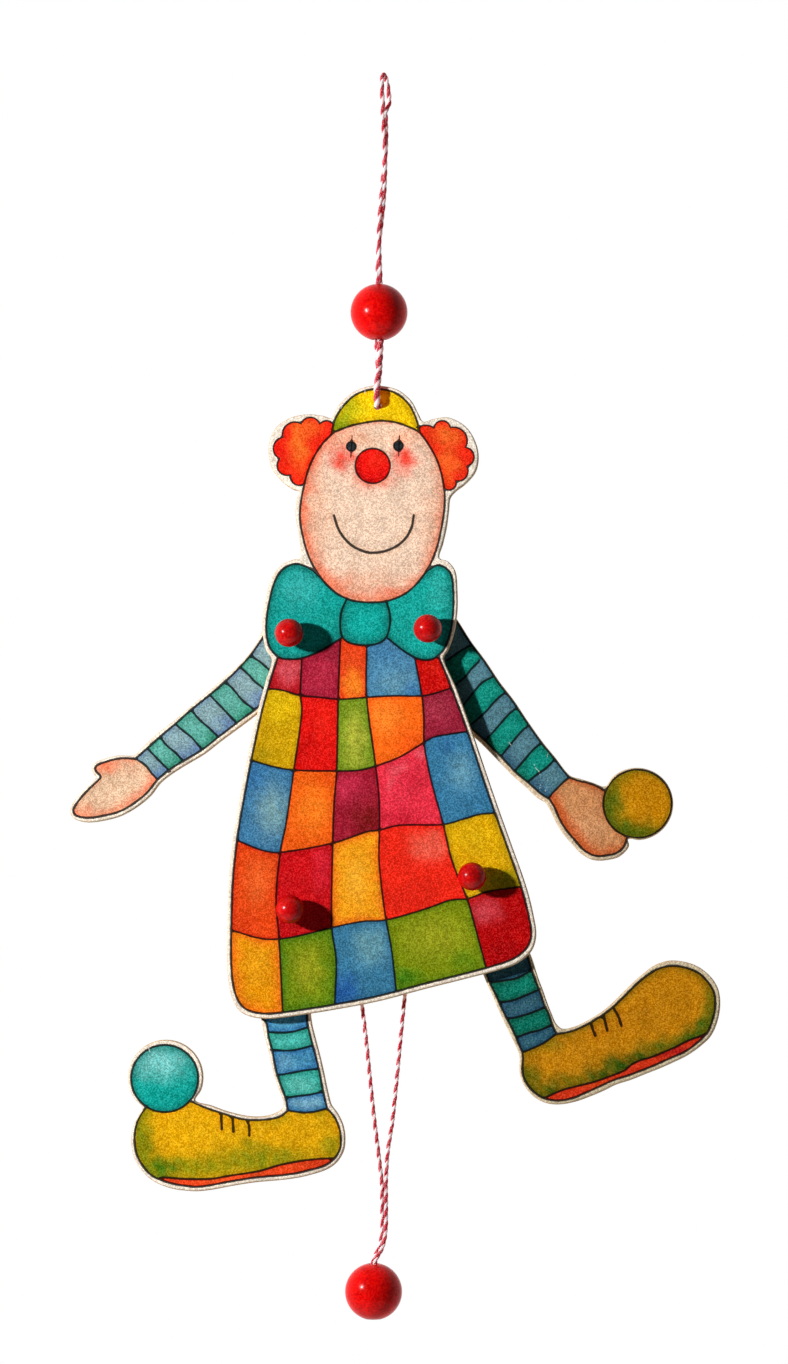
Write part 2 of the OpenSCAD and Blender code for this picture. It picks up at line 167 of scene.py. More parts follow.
def scallops(text: str) -> np.ndarray:
    """Curls of hair as round arcs.

    Args:
        text: Written points: a notch, the tip of a curl, the next notch and so on.

    Returns:
        The line's points as rows.
    """
    given = read_points(text)
    line = []
    for a, b, c in zip(given[:-2:2], given[1:-1:2], given[2::2]):
        (ux, uy), (vx, vy) = b - a, c - a
        cross = 2 * (ux * vy - uy * vx)
        lengths = np.array([ux * ux + uy * uy, vx * vx + vy * vy])
        centre = a + np.array([vy * lengths[0] - uy * lengths[1], ux * lengths[1] - vx * lengths[0]]) / cross
        radius = float(np.linalg.norm(a - centre))
        start, mid, end = (math.degrees(math.atan2(*(p - centre)[::-1])) for p in (a, b, c))
        mid = start + (mid - start + 180) % 360 - 180
        end = start + (end - start) % 360 - (360 if mid < start else 0)
        line.append(arc(centre, radius, start, end)[:-1])
    line.append(given[-1:])
    return np.concatenate(line)


def nearest(points: np.ndarray, line: np.ndarray) -> tuple[np.ndarray, np.ndarray, np.ndarray]:
    """How points lie to an open line.

    Args:
        points: Points to measure, as rows.
        line: The line's points as rows.

    Returns:
        Each point's distance, its unit vector towards the line, and whether it lies on the line's left.
    """
    start, along = line[:-1], np.diff(line, axis=0)
    length = np.maximum((along ** 2).sum(1), 1e-12)
    distance, towards, left = np.empty(len(points)), np.empty((len(points), 2)), np.empty(len(points), bool)
    for low in range(0, len(points), POINTS_AT_ONCE):
        p = points[low:low + POINTS_AT_ONCE, None]
        share = np.clip(((p - start) * along).sum(2) / length, 0, 1)
        gap = start + share[..., None] * along - p
        far = np.hypot(gap[..., 0], gap[..., 1])
        pick = far.argmin(1)
        rows = np.arange(len(pick))
        chosen, run = gap[rows, pick], along[pick]
        part = slice(low, low + len(pick))
        distance[part] = far[rows, pick]
        towards[part] = chosen / np.maximum(distance[part], 1e-6)[:, None]
        left[part] = run[:, 1] * chosen[:, 0] - run[:, 0] * chosen[:, 1] > 0
    return distance, towards, left


def inside(points: np.ndarray, edge: np.ndarray) -> np.ndarray:
    """Which points lie inside a closed edge.

    Args:
        points: The points as rows.
        edge: Points of the edge, whose start isn't repeated.

    Returns:
        A mark for each point.
    """
    x, y = points[:, 0], points[:, 1]
    within = np.zeros(len(points), bool)
    for (ax, ay), (bx, by) in zip(edge, np.roll(edge, -1, 0)):
        if ay != by:
            within ^= ((ay > y) != (by > y)) & (x < (bx - ax) * (y - ay) / (by - ay) + ax)
    return within


def on_board(points: np.ndarray, edges: Sequence[np.ndarray], gap: float = 0.0) -> np.ndarray:
    """Which points lie on a board and clear of its edges.

    Args:
        points: The points as rows.
        edges: The board's closed edges, the outer one first.
        gap: How far they have to keep from every edge.

    Returns:
        A mark for each point.
    """
    clear = inside(points, edges[0])
    for hole in edges[1:]:
        clear &= ~inside(points, hole)
    for edge in edges if gap else ():
        clear &= nearest(points, closed(edge))[0] > gap
    return clear


def lengthened(line: np.ndarray, by: float = 30.0) -> np.ndarray:
    """A line with both ends run on straight.

    Args:
        line: The line's points as rows.
        by: Length that is added at each end.

    Returns:
        The longer line.
    """
    first, last = line[0] - line[1], line[-1] - line[-2]
    return np.concatenate([[line[0] + by * first / np.linalg.norm(first)], line,
                           [line[-1] + by * last / np.linalg.norm(last)]])


def unevenness(points: np.ndarray, reach: float, seed: int) -> np.ndarray:
    """Smooth hills and hollows over points.

    Args:
        points: The points as rows.
        reach: Rough distance from hill to hill.
        seed: Number that picks one pattern.

    Returns:
        A height from about -1 to 1 for each point.
    """
    draw = random.Random(seed)
    total = np.zeros(len(points))
    for _ in range(6):
        turn, pace = draw.uniform(0, math.tau), math.tau / reach * draw.uniform(0.6, 1.7)
        total += np.sin(pace * (points @ [math.cos(turn), math.sin(turn)]) + draw.uniform(0, math.tau))
    return total / 3


# Washes of the drawing


@dataclass(frozen=True)
class Touch:
    """A soft touch of another colour in a wash.

    Attributes:
        at: Its middle.
        reach: Its half width and half height.
        colour: Hex code.
        strength: Share of the colour at the middle.
    """

    at: tuple[float, float]
    reach: tuple[float, float]
    colour: str
    strength: float

    @classmethod
    def read(cls, word: str) -> "Touch":
        """A touch written as x,y,half width,half height,colour,strength."""
        x, y, wide, high, colour, strength = word.split(",")
        return cls((float(x), float(y)), (float(wide), float(high)), colour, float(strength))


@dataclass(frozen=True)
class Rim:
    """A border where the pigment of a wash has gathered.

    Attributes:
        colour: Hex code.
        width: How far it reaches in.
        strength: Share of the colour at the very edge.
        towards: Side of the area that it lies on; none for all round.
    """

    colour: str
    width: float
    strength: float
    towards: tuple[float, ...] = ()

    @classmethod
    def read(cls, word: str) -> "Rim":
        """A rim written as colour,width,strength and, if it lies on one side, the x,y of that side."""
        colour, width, strength, *towards = word.split(",")
        return cls(colour, float(width), float(strength), tuple(float(n) for n in towards))


@dataclass(frozen=True)
class Wash:
    """One wash of watercolour.

    Attributes:
        colour: Hex code.
        touches: Its touches, the last on top.
        rims: Its rims, the last on top.
    """

    colour: str
    touches: tuple[Touch, ...] = ()
    rims: tuple[Rim, ...] = ()

    def paint(self, points: np.ndarray, depth: np.ndarray, outwards: np.ndarray) -> np.ndarray:
        """Colours of points in the wash.

        Args:
            points: The points in millimetres.
            depth: How far each lies from the area's edge.
            outwards: Unit vectors from each towards that edge.

        Returns:
            One linear colour for each point.
        """
        # How far wet paper moves the touches, breaks up their strength, and widens and narrows the rims
        sway, broken, rim_sway = 0.9, 0.2, 0.35
        spread = np.stack([unevenness(points, 9, 3), unevenness(points, 8, 8)], 1)
        moved = points + sway * spread
        patchy = np.clip(1 + broken * unevenness(points, 5, 5), 0.5, 1.5)
        colour = np.tile(linear(self.colour), (len(points), 1))
        for touch in self.touches:
            away = (((moved - touch.at) / touch.reach) ** 2).sum(1)
            share = np.minimum(touch.strength * patchy * np.exp(-away ** 1.4), 1)[:, None]
            colour += share * (linear(touch.colour) - colour)
        for rim in self.rims:
            width = rim.width * (1 + rim_sway * spread[:, 0])
            share = rim.strength * np.exp(-(depth / width) ** 2)
            if rim.towards:
                side = np.array(rim.towards) / math.hypot(*rim.towards)
                share = share * np.clip(0.35 + 0.85 * (outwards @ side), 0, 1)
            colour += share[:, None] * (linear(rim.colour) - colour)
        return colour


def wash(colour: str, touches: str = "", rims: str = "") -> Wash:
    """A wash whose touches and rims are written as words."""
    return Wash(colour, tuple(map(Touch.read, touches.split())), tuple(map(Rim.read, rims.split())))


@dataclass(frozen=True)
class Area:
    """A closed part of the drawing, cut by pen lines into cells that are washed one by one.

    Attributes:
        edge: Closed edge of the area, whose start isn't repeated.
        washes: A wash for each cell, counted down and then across.
        down: Lines met one after another on the way down.
        across: Lines met one after another on the way across.
        down_left: Whether the next cell down lies on the left of its line.
        pen_rims: Whether rims follow every pen line instead of the edge.
    """

    edge: np.ndarray
    washes: tuple[Wash, ...]
    down: tuple[np.ndarray, ...] = ()
    across: tuple[np.ndarray, ...] = ()
    down_left: bool = False
    pen_rims: bool = False

    def cells(self, points: np.ndarray) -> np.ndarray:
        """Number of the cell that each point lies in.

        Args:
            points: Points in the area, as rows.

        Returns:
            A number for each point.
        """
        row = sum((nearest(points, lengthened(line))[2] == self.down_left).astype(int) for line in self.down)
        column = sum(nearest(points, lengthened(line))[2].astype(int) for line in self.across)
        return np.zeros(len(points), int) + row * (len(self.across) + 1) + column


@dataclass(frozen=True)
class Drawing:
    """A picture printed on a board, in millimetres from a point of its own.

    Attributes:
        areas: Its areas; an earlier one lies over a later one.
        pen: Its pen lines with their relative widths.
        scratches: Fine lines where the print is missing.
        paper: Hex code of the margin round the picture.
    """

    areas: Sequence[Area]
    pen: Sequence[tuple[np.ndarray, float]]
    scratches: Sequence[np.ndarray] = ()
    paper: str = "f0e6d8"

    def pen_gap(self, points: np.ndarray) -> tuple[np.ndarray, np.ndarray]:
        """How far points lie from the nearest pen line.

        Args:
            points: The points as rows.

        Returns:
            Each point's distance in line widths, and its unit vector towards the line.
        """
        best, way = np.full(len(points), FAR), np.zeros((len(points), 2))
        for line, width in self.pen:
            low, high = line.min(0) - PEN_REACH, line.max(0) + PEN_REACH
            near = np.flatnonzero(((points > low) & (points < high)).all(1))
            if len(near):
                distance, towards, _ = nearest(points[near], line)
                closer = distance / width < best[near]
                best[near[closer]] = distance[closer] / width
                way[near[closer]] = towards[closer]
        return best, way

    def scratch_gap(self, points: np.ndarray) -> np.ndarray:
        """Distance of points to the nearest scratch."""
        gaps = (nearest(points, line)[0] for line in self.scratches)
        return np.min([np.full(len(points), FAR), *gaps], axis=0)

    def colours(self, middles: np.ndarray, corners: np.ndarray, gap: np.ndarray,
                way: np.ndarray) -> np.ndarray:
        """Colours of the corners of faces.

        Args:
            middles: Middle of each corner's face.
            corners: The corners themselves.
            gap: Distance of each corner to the nearest pen line.
            way: Unit vector of each corner towards that line.

        Returns:
            One linear colour for each corner.
        """
        result = np.tile(linear(self.paper), (len(corners), 1))
        free = np.ones(len(corners), bool)
        for area in self.areas:
            held = np.flatnonzero(free)
            held = held[inside(middles[held], area.edge)]
            free[held] = False
            cells = area.cells(middles[held])
            for number, filling in enumerate(area.washes):
                mine = held[cells == number]
                if not len(mine):
                    continue
                depth, outwards = gap[mine], way[mine]
                if not area.pen_rims:
                    depth, outwards, _ = nearest(corners[mine], closed(area.edge))
                result[mine] = filling.paint(corners[mine], depth, outwards)
        return result


# The printed picture, traced as a pen would draw it


def figure_drawing() -> Drawing:
    """Clown with a round hat, curls, a bow tie and a patchwork smock, from a point in the hat.

    Returns:
        The drawing.
    """
    hat = trace("-16.5,-10.5 -15.5,-6 -12.5,-1 -8,3 -3,4.7 1,4.8 6,3.4 10.5,-.5 13,-5.5 14.2,-9.8")
    brim = trace("-16.3,-10.4 -10,-8 -4,-6.7 1,-6.2 6,-6.8 11,-8.6 14.2,-10.1")
    face = trace("-16,-10.5 -20,-14.5 -24,-21.5 -26.5,-30 -27.7,-39 -26.8,-46 -24.5,-54 -20.5,-61 -15,-66.5"
                 " -9,-69.2 -2,-69.8 4,-69 10.5,-65.8 16.5,-59 20,-51.5 22.2,-42 23,-35 22.7,-29 20.5,-20.5"
                 " 17,-14 14,-10")
    left_hair = scallops("-15.8,-7.6 -18.3,-6.2 -20.7,-7.3 -24,-5 -27.3,-7.2 -32.3,-7.7 -33.7,-12 -37,-15.8"
                         " -34.8,-19.5 -34.9,-24 -31,-25.2 -28.8,-28.7 -26,-28.3")
    right_hair = scallops("13.6,-8.6 17,-7.8 19.2,-8.7 22.5,-6.2 25,-8.6 30.3,-10.9 30.3,-15.5 33.3,-19"
                          " 30.8,-22.2 30.3,-26.2 27,-27.3 25.3,-30.4 22.6,-29.6")
    left_bow = trace("-21,-60.5 -24,-58 -29,-56.3 -33.5,-58 -36.5,-62.5 -38.5,-70 -39.5,-78 -38.5,-85"
                     " -35,-89 -30,-89.7 -26,-89 -20,-86.5 -13.2,-82.3")
    right_bow = trace("16.5,-58.8 21,-56.7 25,-59.5 26,-65 26,-73 24.8,-81 22.5,-86.5 19,-89.5 14.5,-89.8"
                      " 9,-87 3,-82.3")
    knot = trace("-11.2,-68.4 -13,-72.5 -13.6,-77 -13,-81.6 -11,-83.6 -8,-84.5 -4,-84.8 0,-84 2.4,-82.2"
                 " 3.7,-78.5 3.9,-74.5 2.6,-69.2")
    smock = trace("-35.5,-89 -38,-97 -41,-108 -44.5,-124 -47,-137 -49.7,-153 -51.2,-168 -51.7,-184"
                  " -51.7,-197 -50.5,-206 -48,-211 -44,-213.2 -38,-213.7 -30,-212.8 -16,-210.6 0,-207.5"
                  " 15,-203.5 30,-199.7 40,-197 47,-194.5 51.5,-191 53.3,-186.5 52.5,-180 50,-170"
                  " 45.5,-157 41,-144.5 37,-133 31,-115 25.5,-100 21,-89")
    rows = traces(
        "-39,-100 -34,-100.5 -28,-102.3 -21,-103 -14,-103.7 -4,-103 5,-102.5 15,-102.5 20,-101.5 25,-99.8",
        "-45,-125 -36,-127.5 -29.5,-128.5 -15,-128.8 -7,-128.5 -1,-127 7,-124 15.5,-119 19,-117 24,-116"
        " 30.8,-115",
        "-49.8,-153 -41,-156.5 -35,-157.3 -16,-154 -4,-150 0,-149.5 7,-147.8 22.5,-147.5 30,-145.5 35,-144"
        " 40.8,-143.5",
        "-51.7,-184.5 -41,-187.5 -34,-187.5 -26,-186 -16,-183.5 -6,-181.5 2,-181 10,-179 18,-176.5 25,-174"
        " 31,-173.5 38,-171 49.8,-169.3")
    columns = traces(
        "-27,-89.5 -27.5,-102 -27,-108 -29.8,-128.5 -32.5,-147 -34.5,-157 -36,-173 -35,-187 -33.7,-213.2",
        "-13.5,-83 -14.3,-104 -14.8,-128.8 -15.7,-140 -16.2,-154 -16.5,-183.5 -15,-195 -15.5,-210.4",
        "-4.3,-84.8 -4.3,-103 -1.2,-127 0,-138 .2,-149.5 0,-160 2,-178 4.5,-192 6,-205.8",
        "12.5,-89 15,-102.5 15.7,-110 15.8,-119 18,-131 22.5,-147.5 25.5,-160 31,-174 33,-181 37.5,-197.6")
    patches = (
        wash("b00a18", "-31,-93.4,5,4.6,d0515c,.9"),
        wash("a51a37", "-20,-95,5,6,be2b45,.7 -17,-88,4,3,80182c,.5"),
        wash("e74617", "-9,-99,3.6,6,f0831d,.95"),
        wash("4c88ac", "6,-98,6,4.5,659bb2,.8 12,-101,4,3,3470a6,.7 1,-87,6,3,2f6c9c,.5"),
        wash("ca0602", "19,-92,3,3,da2010,.6"),
        wash("c89e00", "-35,-106,6,6,e0bc04,.75 -42,-124,5,4,9a8400,.6"),
        wash("de0e08", "-19,-112,4,7,ec2212,.6 -27,-122,5,5,c00604,.6"),
        wash("76921a", "-8.5,-118,4,9,b0b43a,.9"),
        wash("f66a10", "2,-110,6,6,f88828,.75 11,-119,5,4,ee500c,.6"),
        wash("9a1e38", "20,-107,5,5,ae344a,.7"),
        wash("3b779f", "-37,-143,6,9,769ea4,.85 -44,-131,4,4,2f6ca4,.6"),
        wash("f0620c", "-23,-142,6,8,f4821c,.75 -18,-132,4,3,e84c0a,.6 -28,-154,5,3,e45608,.6"),
        wash("a0172f", "-11,-134,5,5,ce2e4e,.85 -4,-146,6,6,781310,.85"),
        wash("e53147", "7,-128,3,1.8,f08a90,.25 15,-122,3.4,1.8,ec8890,.25 4,-132,1.4,3.4,e8606c,.5 "
             "8,-145,9,3,c4142c,.7 13,-133,4,6,d82238,.6"),
        wash("397ea6", "29,-129,5,7,68a0b6,.75 23,-120,4,3,2e6ca0,.6"),
        wash("e0470c", "-42,-168,5,8,e96828,.7 -47,-182,5,4,da3c0e,.7", "c8280c,1.6,.5"),
        wash("c60812", "-20,-163,3.4,8,d02840,.4 -30,-181,6,4,9c0408,.7"),
        wash("ec9e10", "-8,-168,4,8,f0ae30,.6", "ec7414,3,.75"),
        wash("ea2612", "18,-155,7,5,f26650,.85 8,-174,9,4,dc200e,.7"),
        wash("deac00", "33,-152,7,4,e8bc08,.6 43,-167,7,3.5,8e9004,.8", "a89806,1.6,.5"),
        wash("e29400", "-43,-196,4,6,e8a414,.6", "ec7414,3,.75"),
        wash("6e8806", "-25,-198,5,8,9a9c18,.85", "4c7c0c,3,.8"),
        wash("36779a", "-13,-206,6,6,1c549c,.9 -3,-190,6,7,6a9faa,.8"),
        wash("7c8e06", "20,-187,12,7,a0a41c,.75 9,-202,7,4,38780a,.9 30,-195,5,3,4c8006,.6",
             "5c8408,1.8,.5"),
        wash("b80004", "37,-178,5.5,4,d4505c,.6 43,-192,6,3,980004,.6"),
    )
    skin = wash("efd1b9", "-24,-40,7,22,e8ac8a,.6 20,-44,6,20,e4ae90,.55 -3,-64,17,6,e8a888,.5 "
                "-2,-12,15,4,ecc0a0,.4 -13,-19.5,4.8,4.6,f44c38,.9 8.8,-19.8,4.6,4.8,f24a38,.92 "
                "-2.2,-27,7.6,4,f2765c,.7 -11,-12.6,8,2.8,f4a884,.6 9,-12,5,2.4,f4a884,.6 "
                "7,-67,9,2.8,f27050,.75 -14,-63,7,3,f08c68,.5",
                "ee7854,3.2,.95,-1,-.35 e88e6c,2.8,.85,.6,-.9")
    eyes = [arc((-9.7, -15.2), 1.7), arc((6.8, -15), 1.7)]
    nose = arc((-2.2, -22), 6.1)
    areas = [
        *(Area(eye[:-1], (wash("2c343a"),)) for eye in eyes),
        Area(nose[:-1],
             (wash("f41008", "-.5,-20,3.4,3.2,f82c18,.7", "a80608,2.2,.8,-.6,-.8"),)),
        Area(np.concatenate([face, brim[::-1]]), (skin,)),
        Area(np.concatenate([hat, brim[::-1]]),
             (wash("f8d000", "-13.4,-8,5,5,6c9a10,.9 -10,-1,6,4,b4b40c,.75 4,-5,6,2.5,dcb808,.4",
                   "a88c08,1.8,.6,1,-.2"),)),
        Area(np.concatenate([knot, [[-4, -64]]]),
             (wash("04a096", "-5,-77,5,4,10b0a8,.6", "08726a,2.4,.7"),)),
        Area(np.concatenate([left_bow, [[-7, -78], [-7, -64]]]),
             (wash("0ca49c", "-28,-65,7,6.5,3cbab6,.7 -17,-77,6,6,0a8c80,.6 -30,-84,7,4,0a8c80,.4",
                   "08726a,2.4,.7"),)),
        Area(np.concatenate([right_bow, [[-2, -78], [0, -64], [9, -60]]]),
             (wash("10aca2", "21,-66,4,7,34b8b0,.7 7,-78,5,6,0a8c80,.3", "08726a,2.4,.7"),)),
        Area(np.concatenate([left_hair, [[-12, -26], [-10, -9]]]),
             (wash("f0260c", "-28,-14,3.4,9,fa7424,.85 -23,-8,4,3,f26420,.7 -35,-16,3,3,e81006,.8"),)),
        Area(np.concatenate([right_hair, [[12, -26], [8, -9]]]),
             (wash("ee3010", "24,-11,4.5,4,f66a24,.9 24,-21,3.5,6,f66c24,.8 31,-19,3,3,e8200c,.6"),)),
        Area(np.concatenate([smock, [[10, -80], [-26, -80]]]), patches, rows, columns, pen_rims=True),
    ]
    pen = [(line, 0.95) for line in (hat, brim, face, left_bow, right_bow, knot)]
    pen += [(smock, 1.0), (left_hair, 0.72), (right_hair, 0.72)]
    pen += [(line, 0.82) for line in (*rows, *columns)]
    pen += [*((eye, 0.6) for eye in eyes), (nose, 0.75),
            (trace("-15.8,-39.3 -14,-44.5 -10,-49.5 -5,-52 -1,-52.4 4,-51.2 8.5,-48.3 11.2,-44"
                   " 12.2,-39.3"), 1.1),
            (trace("-9.4,-11.4 -9.6,-15 -9.9,-19"), 0.5), (trace("7.2,-11.4 7,-15 6.9,-18.6"), 0.5)]
    return Drawing(areas, pen, traces("-5,3.3 -4.9,4.6", "-13.4,-1.9 -12.9,-1.2"))


def left_arm_drawing() -> Drawing:
    """Striped sleeve and open hand, from the arm's pivot.

    Returns:
        The drawing.
    """
    upper = trace("-9.3,-1.5 -13.5,-7.5 -17.3,-11.8 -22.3,-16.7 -27.8,-21.5 -34.3,-26.7 -40,-31.8"
                  " -45.3,-36.2 -49.5,-40 -54,-44")
    hand = trace("-54,-44 -60,-44 -65,-45.3 -67.5,-46.3 -68.3,-47.5 -67.8,-48.6 -66.3,-50.3 -67.3,-51.8"
                 " -70,-54.3 -73,-57.5 -75.2,-60.5 -75.9,-62.3 -75.3,-63.8 -73,-64.6 -70,-64.8 -65,-64"
                 " -60,-62.7 -55,-60 -50,-56 -46.5,-51.5")
    lower = trace("-46.5,-51.5 -42.5,-48.2 -37.5,-45 -30.8,-41 -25,-36.5 -18.5,-31.5 -13,-27.5 -10.5,-25.5")
    hidden = trace("-10.5,-25.5 -7,-22 -2,-16 2,-10 6,-4 7.5,3 5.5,6.8 1,7.4 -4,5.6 -7.3,2 -9.3,-1.5")
    cuffs = traces(
        "-54,-44 -50.5,-46.5 -48.5,-49 -46.5,-51.3", "-50,-40.3 -46,-44.5 -42,-48.5",
        "-45.5,-36.3 -43,-39.5 -40,-42 -37.3,-45", "-40,-32 -37,-34.5 -34.5,-36.5 -31,-40.5",
        "-34.5,-27 -31.5,-30.5 -28,-33.5 -25,-36.5", "-28,-21.7 -25,-24.8 -21.5,-28.5 -18.5,-31.7",
        "-22.5,-17 -19.5,-20 -17.5,-22.5 -15.5,-24.5 -12.5,-26.7", "-17.2,-12 -14,-15 -12.5,-16.7 -9,-19.5",
        "-13.8,-7.8 -10.5,-10 -7,-13")
    skin = wash("deb898", "-64,-47,4,2.2,ee8058,.85 -60,-55,9,4,e8c8a8,.5 -73,-62.5,3.4,2.4,f08c68,.7",
                "ee6c42,2.8,.85,1,.25 ec9470,1.8,.6,0,-1")
    blue = wash("86a7ae", "", "5070a8,3.8,.8,.6,-.8 7494b0,1.8,.5")
    green = wash("60aca0", "", "1e8468,3.4,.8,.6,-.8 3c9c88,2,.5,-1,1")
    edge = joined(upper, hand, lower, hidden)
    area = Area(edge, (skin, *[blue, green] * 4, blue), cuffs, down_left=True)
    pen = [(closed(edge), 1.0)] + [(cuff, 0.95) for cuff in cuffs]
    return Drawing([area], pen)


def right_arm_drawing() -> Drawing:
    """Striped sleeve and a hand that holds a ball, from the arm's pivot. Its washes and margin are painted
    darker than the left arm's, as painted shade of weaker light on the right.

    Returns:
        The drawing.
    """
    upper = trace("10,3 15,-4.8 20,-11.5 25,-19 30,-25.5 35,-33 40,-40 44.5,-45.5 49.5,-52")
    hand_top = trace("49.5,-52 53,-53.3 57,-54.2 61,-56 62.5,-57")
    hand_foot = trace("70.3,-72.7 69.5,-75 68.5,-77 66,-78.8 63,-79.5 60,-79.8 57.5,-79.2 54.5,-77.3"
                      " 52,-74.5 49,-71 46.5,-67 44.5,-62.5 42.8,-59.7")
    lower = trace("42.8,-59.7 40,-58 36,-54.5 31,-50.3 26,-45 20,-39 15.5,-35")
    hidden = trace("15.5,-35 9,-29 4,-22 -.5,-14 -4,-6 -6,1 -5,6.5 -1.5,8 3,7.6 7,5.8 10,3")
    ball = arc((73.7, -61.4), 12)
    cuffs = traces(
        "49.5,-52.3 47.5,-54 44,-57.5 42.5,-59.5", "44.5,-46 41.5,-49 38.5,-51 35.5,-53.5",
        "40,-40 37,-42.5 34,-46 30.8,-49.7", "35.3,-34 33,-36 30,-39.5 26,-44.5",
        "31,-28 28.5,-30 25,-34 20.5,-39", "27,-22.5 24,-25 20.5,-29 15.5,-33.5",
        "22.5,-17 19,-19 16,-22.5 12.5,-27", "18,-11.5 15.5,-14 13,-17 10,-19.5", "15,-5.8 12,-7.5 7,-11")
    # Painted shade: these washes are darker than the left arm's, standing for weaker light on the right
    skin = wash("d0925f", "58,-61,5,5,c88452,.5 56,-70,7,5,d8a072,.6",
                "d4541c,3.2,.95,-.8,-.6 c46830,2,.6")
    blue = wash("578694", "", "285478,3.4,.8,-.8,-.6 3c6c84,1.6,.5")
    green = wash("0a9080", "", "066c54,3,.7,-.6,-.8 087864,1.6,.5")
    amber = wash("cc8a00", "63.5,-61,6,9,6a7004,.98 69,-70.5,8,4,5c6c02,.95 75.5,-71.5,8,3,6c7404,.85 "
                 "68,-51,5,2.6,8c8404,.6",
                 "185a06,2.3,1,-.8,-.6 8c7c04,1.4,.5")
    edge = np.concatenate([upper[:-1], hand_top, joined(hand_foot, lower, hidden)])
    areas = [Area(ball[:-1], (amber,)), Area(edge, (skin, *[blue, green] * 4, blue), cuffs)]
    pen = [(np.concatenate([joined(hand_foot, lower, hidden, upper), hand_top]), 1.0), (ball, 0.9)]
    pen += [(cuff, 0.95) for cuff in cuffs]
    scratches = traces("42.4,-43 42,-45", "37.4,-47.6 38,-49", "39,-49.8 39.5,-51.2", "39.8,-54.4 39.4,-56",
                       "41.6,-53.4 42.6,-52.8", "41.8,-55.6 41.4,-57", "28.6,-39.8 29.3,-40.8")
    # Painted shade: the darker margin stands for weaker light on the right
    return Drawing(areas, pen, scratches, paper="dfceb4")


def left_leg_drawing() -> Drawing:
    """Striped stocking and a shoe with a pompom, from the leg's pivot.

    Returns:
        The drawing.
    """
    shin = trace("-10,-38.5 -8.5,-40.5 -7.8,-45 -6.5,-50 -5,-57.5 -3.5,-62 -1.7,-67 -1,-71")
    calf = trace("12.8,-70.3 12,-67 11.3,-64 10.2,-58 8.8,-52 7.2,-46 6,-41 5.8,-38")
    hidden = trace("5.8,-38 5,-25 5,-16 5.5,-8 7,0 5.5,6 1,8 -4,6.2 -8,2 -10,-5 -10.4,-15 -10,-30 -10,-38.5")
    collar = trace("-1,-71 4,-71.7 8,-71.5 12.8,-70.3")
    instep = trace("-1,-71 -3.5,-73 -7,-74 -12,-74.4 -16,-74.2 -20,-73.3 -24,-72 -30,-70 -34,-68.2"
                   " -35.6,-67.6")
    shoe = trace("-50.5,-69.5 -53,-73 -54.5,-77.5 -54.8,-82 -54,-86.5 -51.5,-91 -48.5,-94 -45,-95.6"
                 " -41,-96.8 -36.5,-97.5 -33,-97.8 -28,-97.2 -20,-95.7 -12,-94.5 -4,-93.8 2,-93 7,-91.8"
                 " 12,-90.3 15.3,-87.9 17.3,-84.5 17.6,-80.5 17,-77 15.5,-73.5 12.8,-70.3")
    welt = trace("-46.5,-95 -45,-94.5 -38,-95 -28,-95 -22,-94 -14,-92.8 -10,-92 -4,-90.2 3,-88.8 10,-88"
                 " 15.2,-87.8")
    pompom = arc((-44.2, -59.8), 11.8)
    stripes = traces(
        "-7.8,-43.5 -3,-43.7 1,-43.3 5.8,-41.9", "-7,-49.7 -2,-50 2,-49.7 7.5,-48.2",
        "-5,-58.7 0,-57.9 5,-56.9 9.9,-56.4", "-2,-66.6 3,-65.9 7,-65.4 11.3,-64.4")
    laces = traces("-24.4,-71.9 -24.2,-77.6", "-20.4,-73.2 -20.1,-78.4", "-15.6,-74.2 -14.7,-76 -14.5,-79.8")
    blue = wash("4c96ba", "-3,-54,4,3,7cb0c8,.7 3,-52,6,3,3c84ac,.6 5,-68.5,8,3,80b4c8,.85",
                "2068a8,1.8,.6")
    green = wash("3cb0a4", "3,-62,6,3,64c0b4,.7 -2,-46,7,3,4cbab0,.85", "108470,1.6,.5")
    yellow = wash("e0a800", "-34,-91,16,4.4,969002,.95 -46,-91.5,6,4,386c02,.95 -10,-88,18,4.4,868a04,.9 "
                  "-25,-79,12,3,e8b408,.6 12,-74,4,5,c89c02,.6 14,-84,4,5,948c04,.8 "
                  "-51.5,-82,4,9,808002,.9 -14,-82.6,3.4,2.2,968c04,.7",
                  "788804,2.8,.75,-1,-.2")
    sole = wash("e64c1c", "-22,-95.5,10,2,f0662a,.6 10,-89.4,6,2,cc3410,.7")
    teal = wash("06a298", "-46,-53.6,10,6,80cac8,.75 -40,-67,7,5,04948a,.7", "08766c,1.8,.6")
    shaft = joined(shin, collar, calf, hidden)
    foot = np.concatenate([instep, [[-44, -64]], shoe[:-1], collar[::-1][:-1]])
    stripe_washes = (blue, green, blue, green, blue)
    areas = [Area(pompom[:-1], (teal,)), Area(shaft, stripe_washes, stripes, pen_rims=True),
             Area(foot, (yellow, sole), (welt,))]
    pen = [(line, 1.0) for line in (np.concatenate([calf, hidden[1:], shin[1:]]), instep, shoe)]
    pen += [(line, 0.95) for line in (collar, welt, pompom, *stripes)] + [(lace, 1.2) for lace in laces]
    return Drawing(areas, pen, traces("-49.9,-48.9 -49.3,-50.9"))


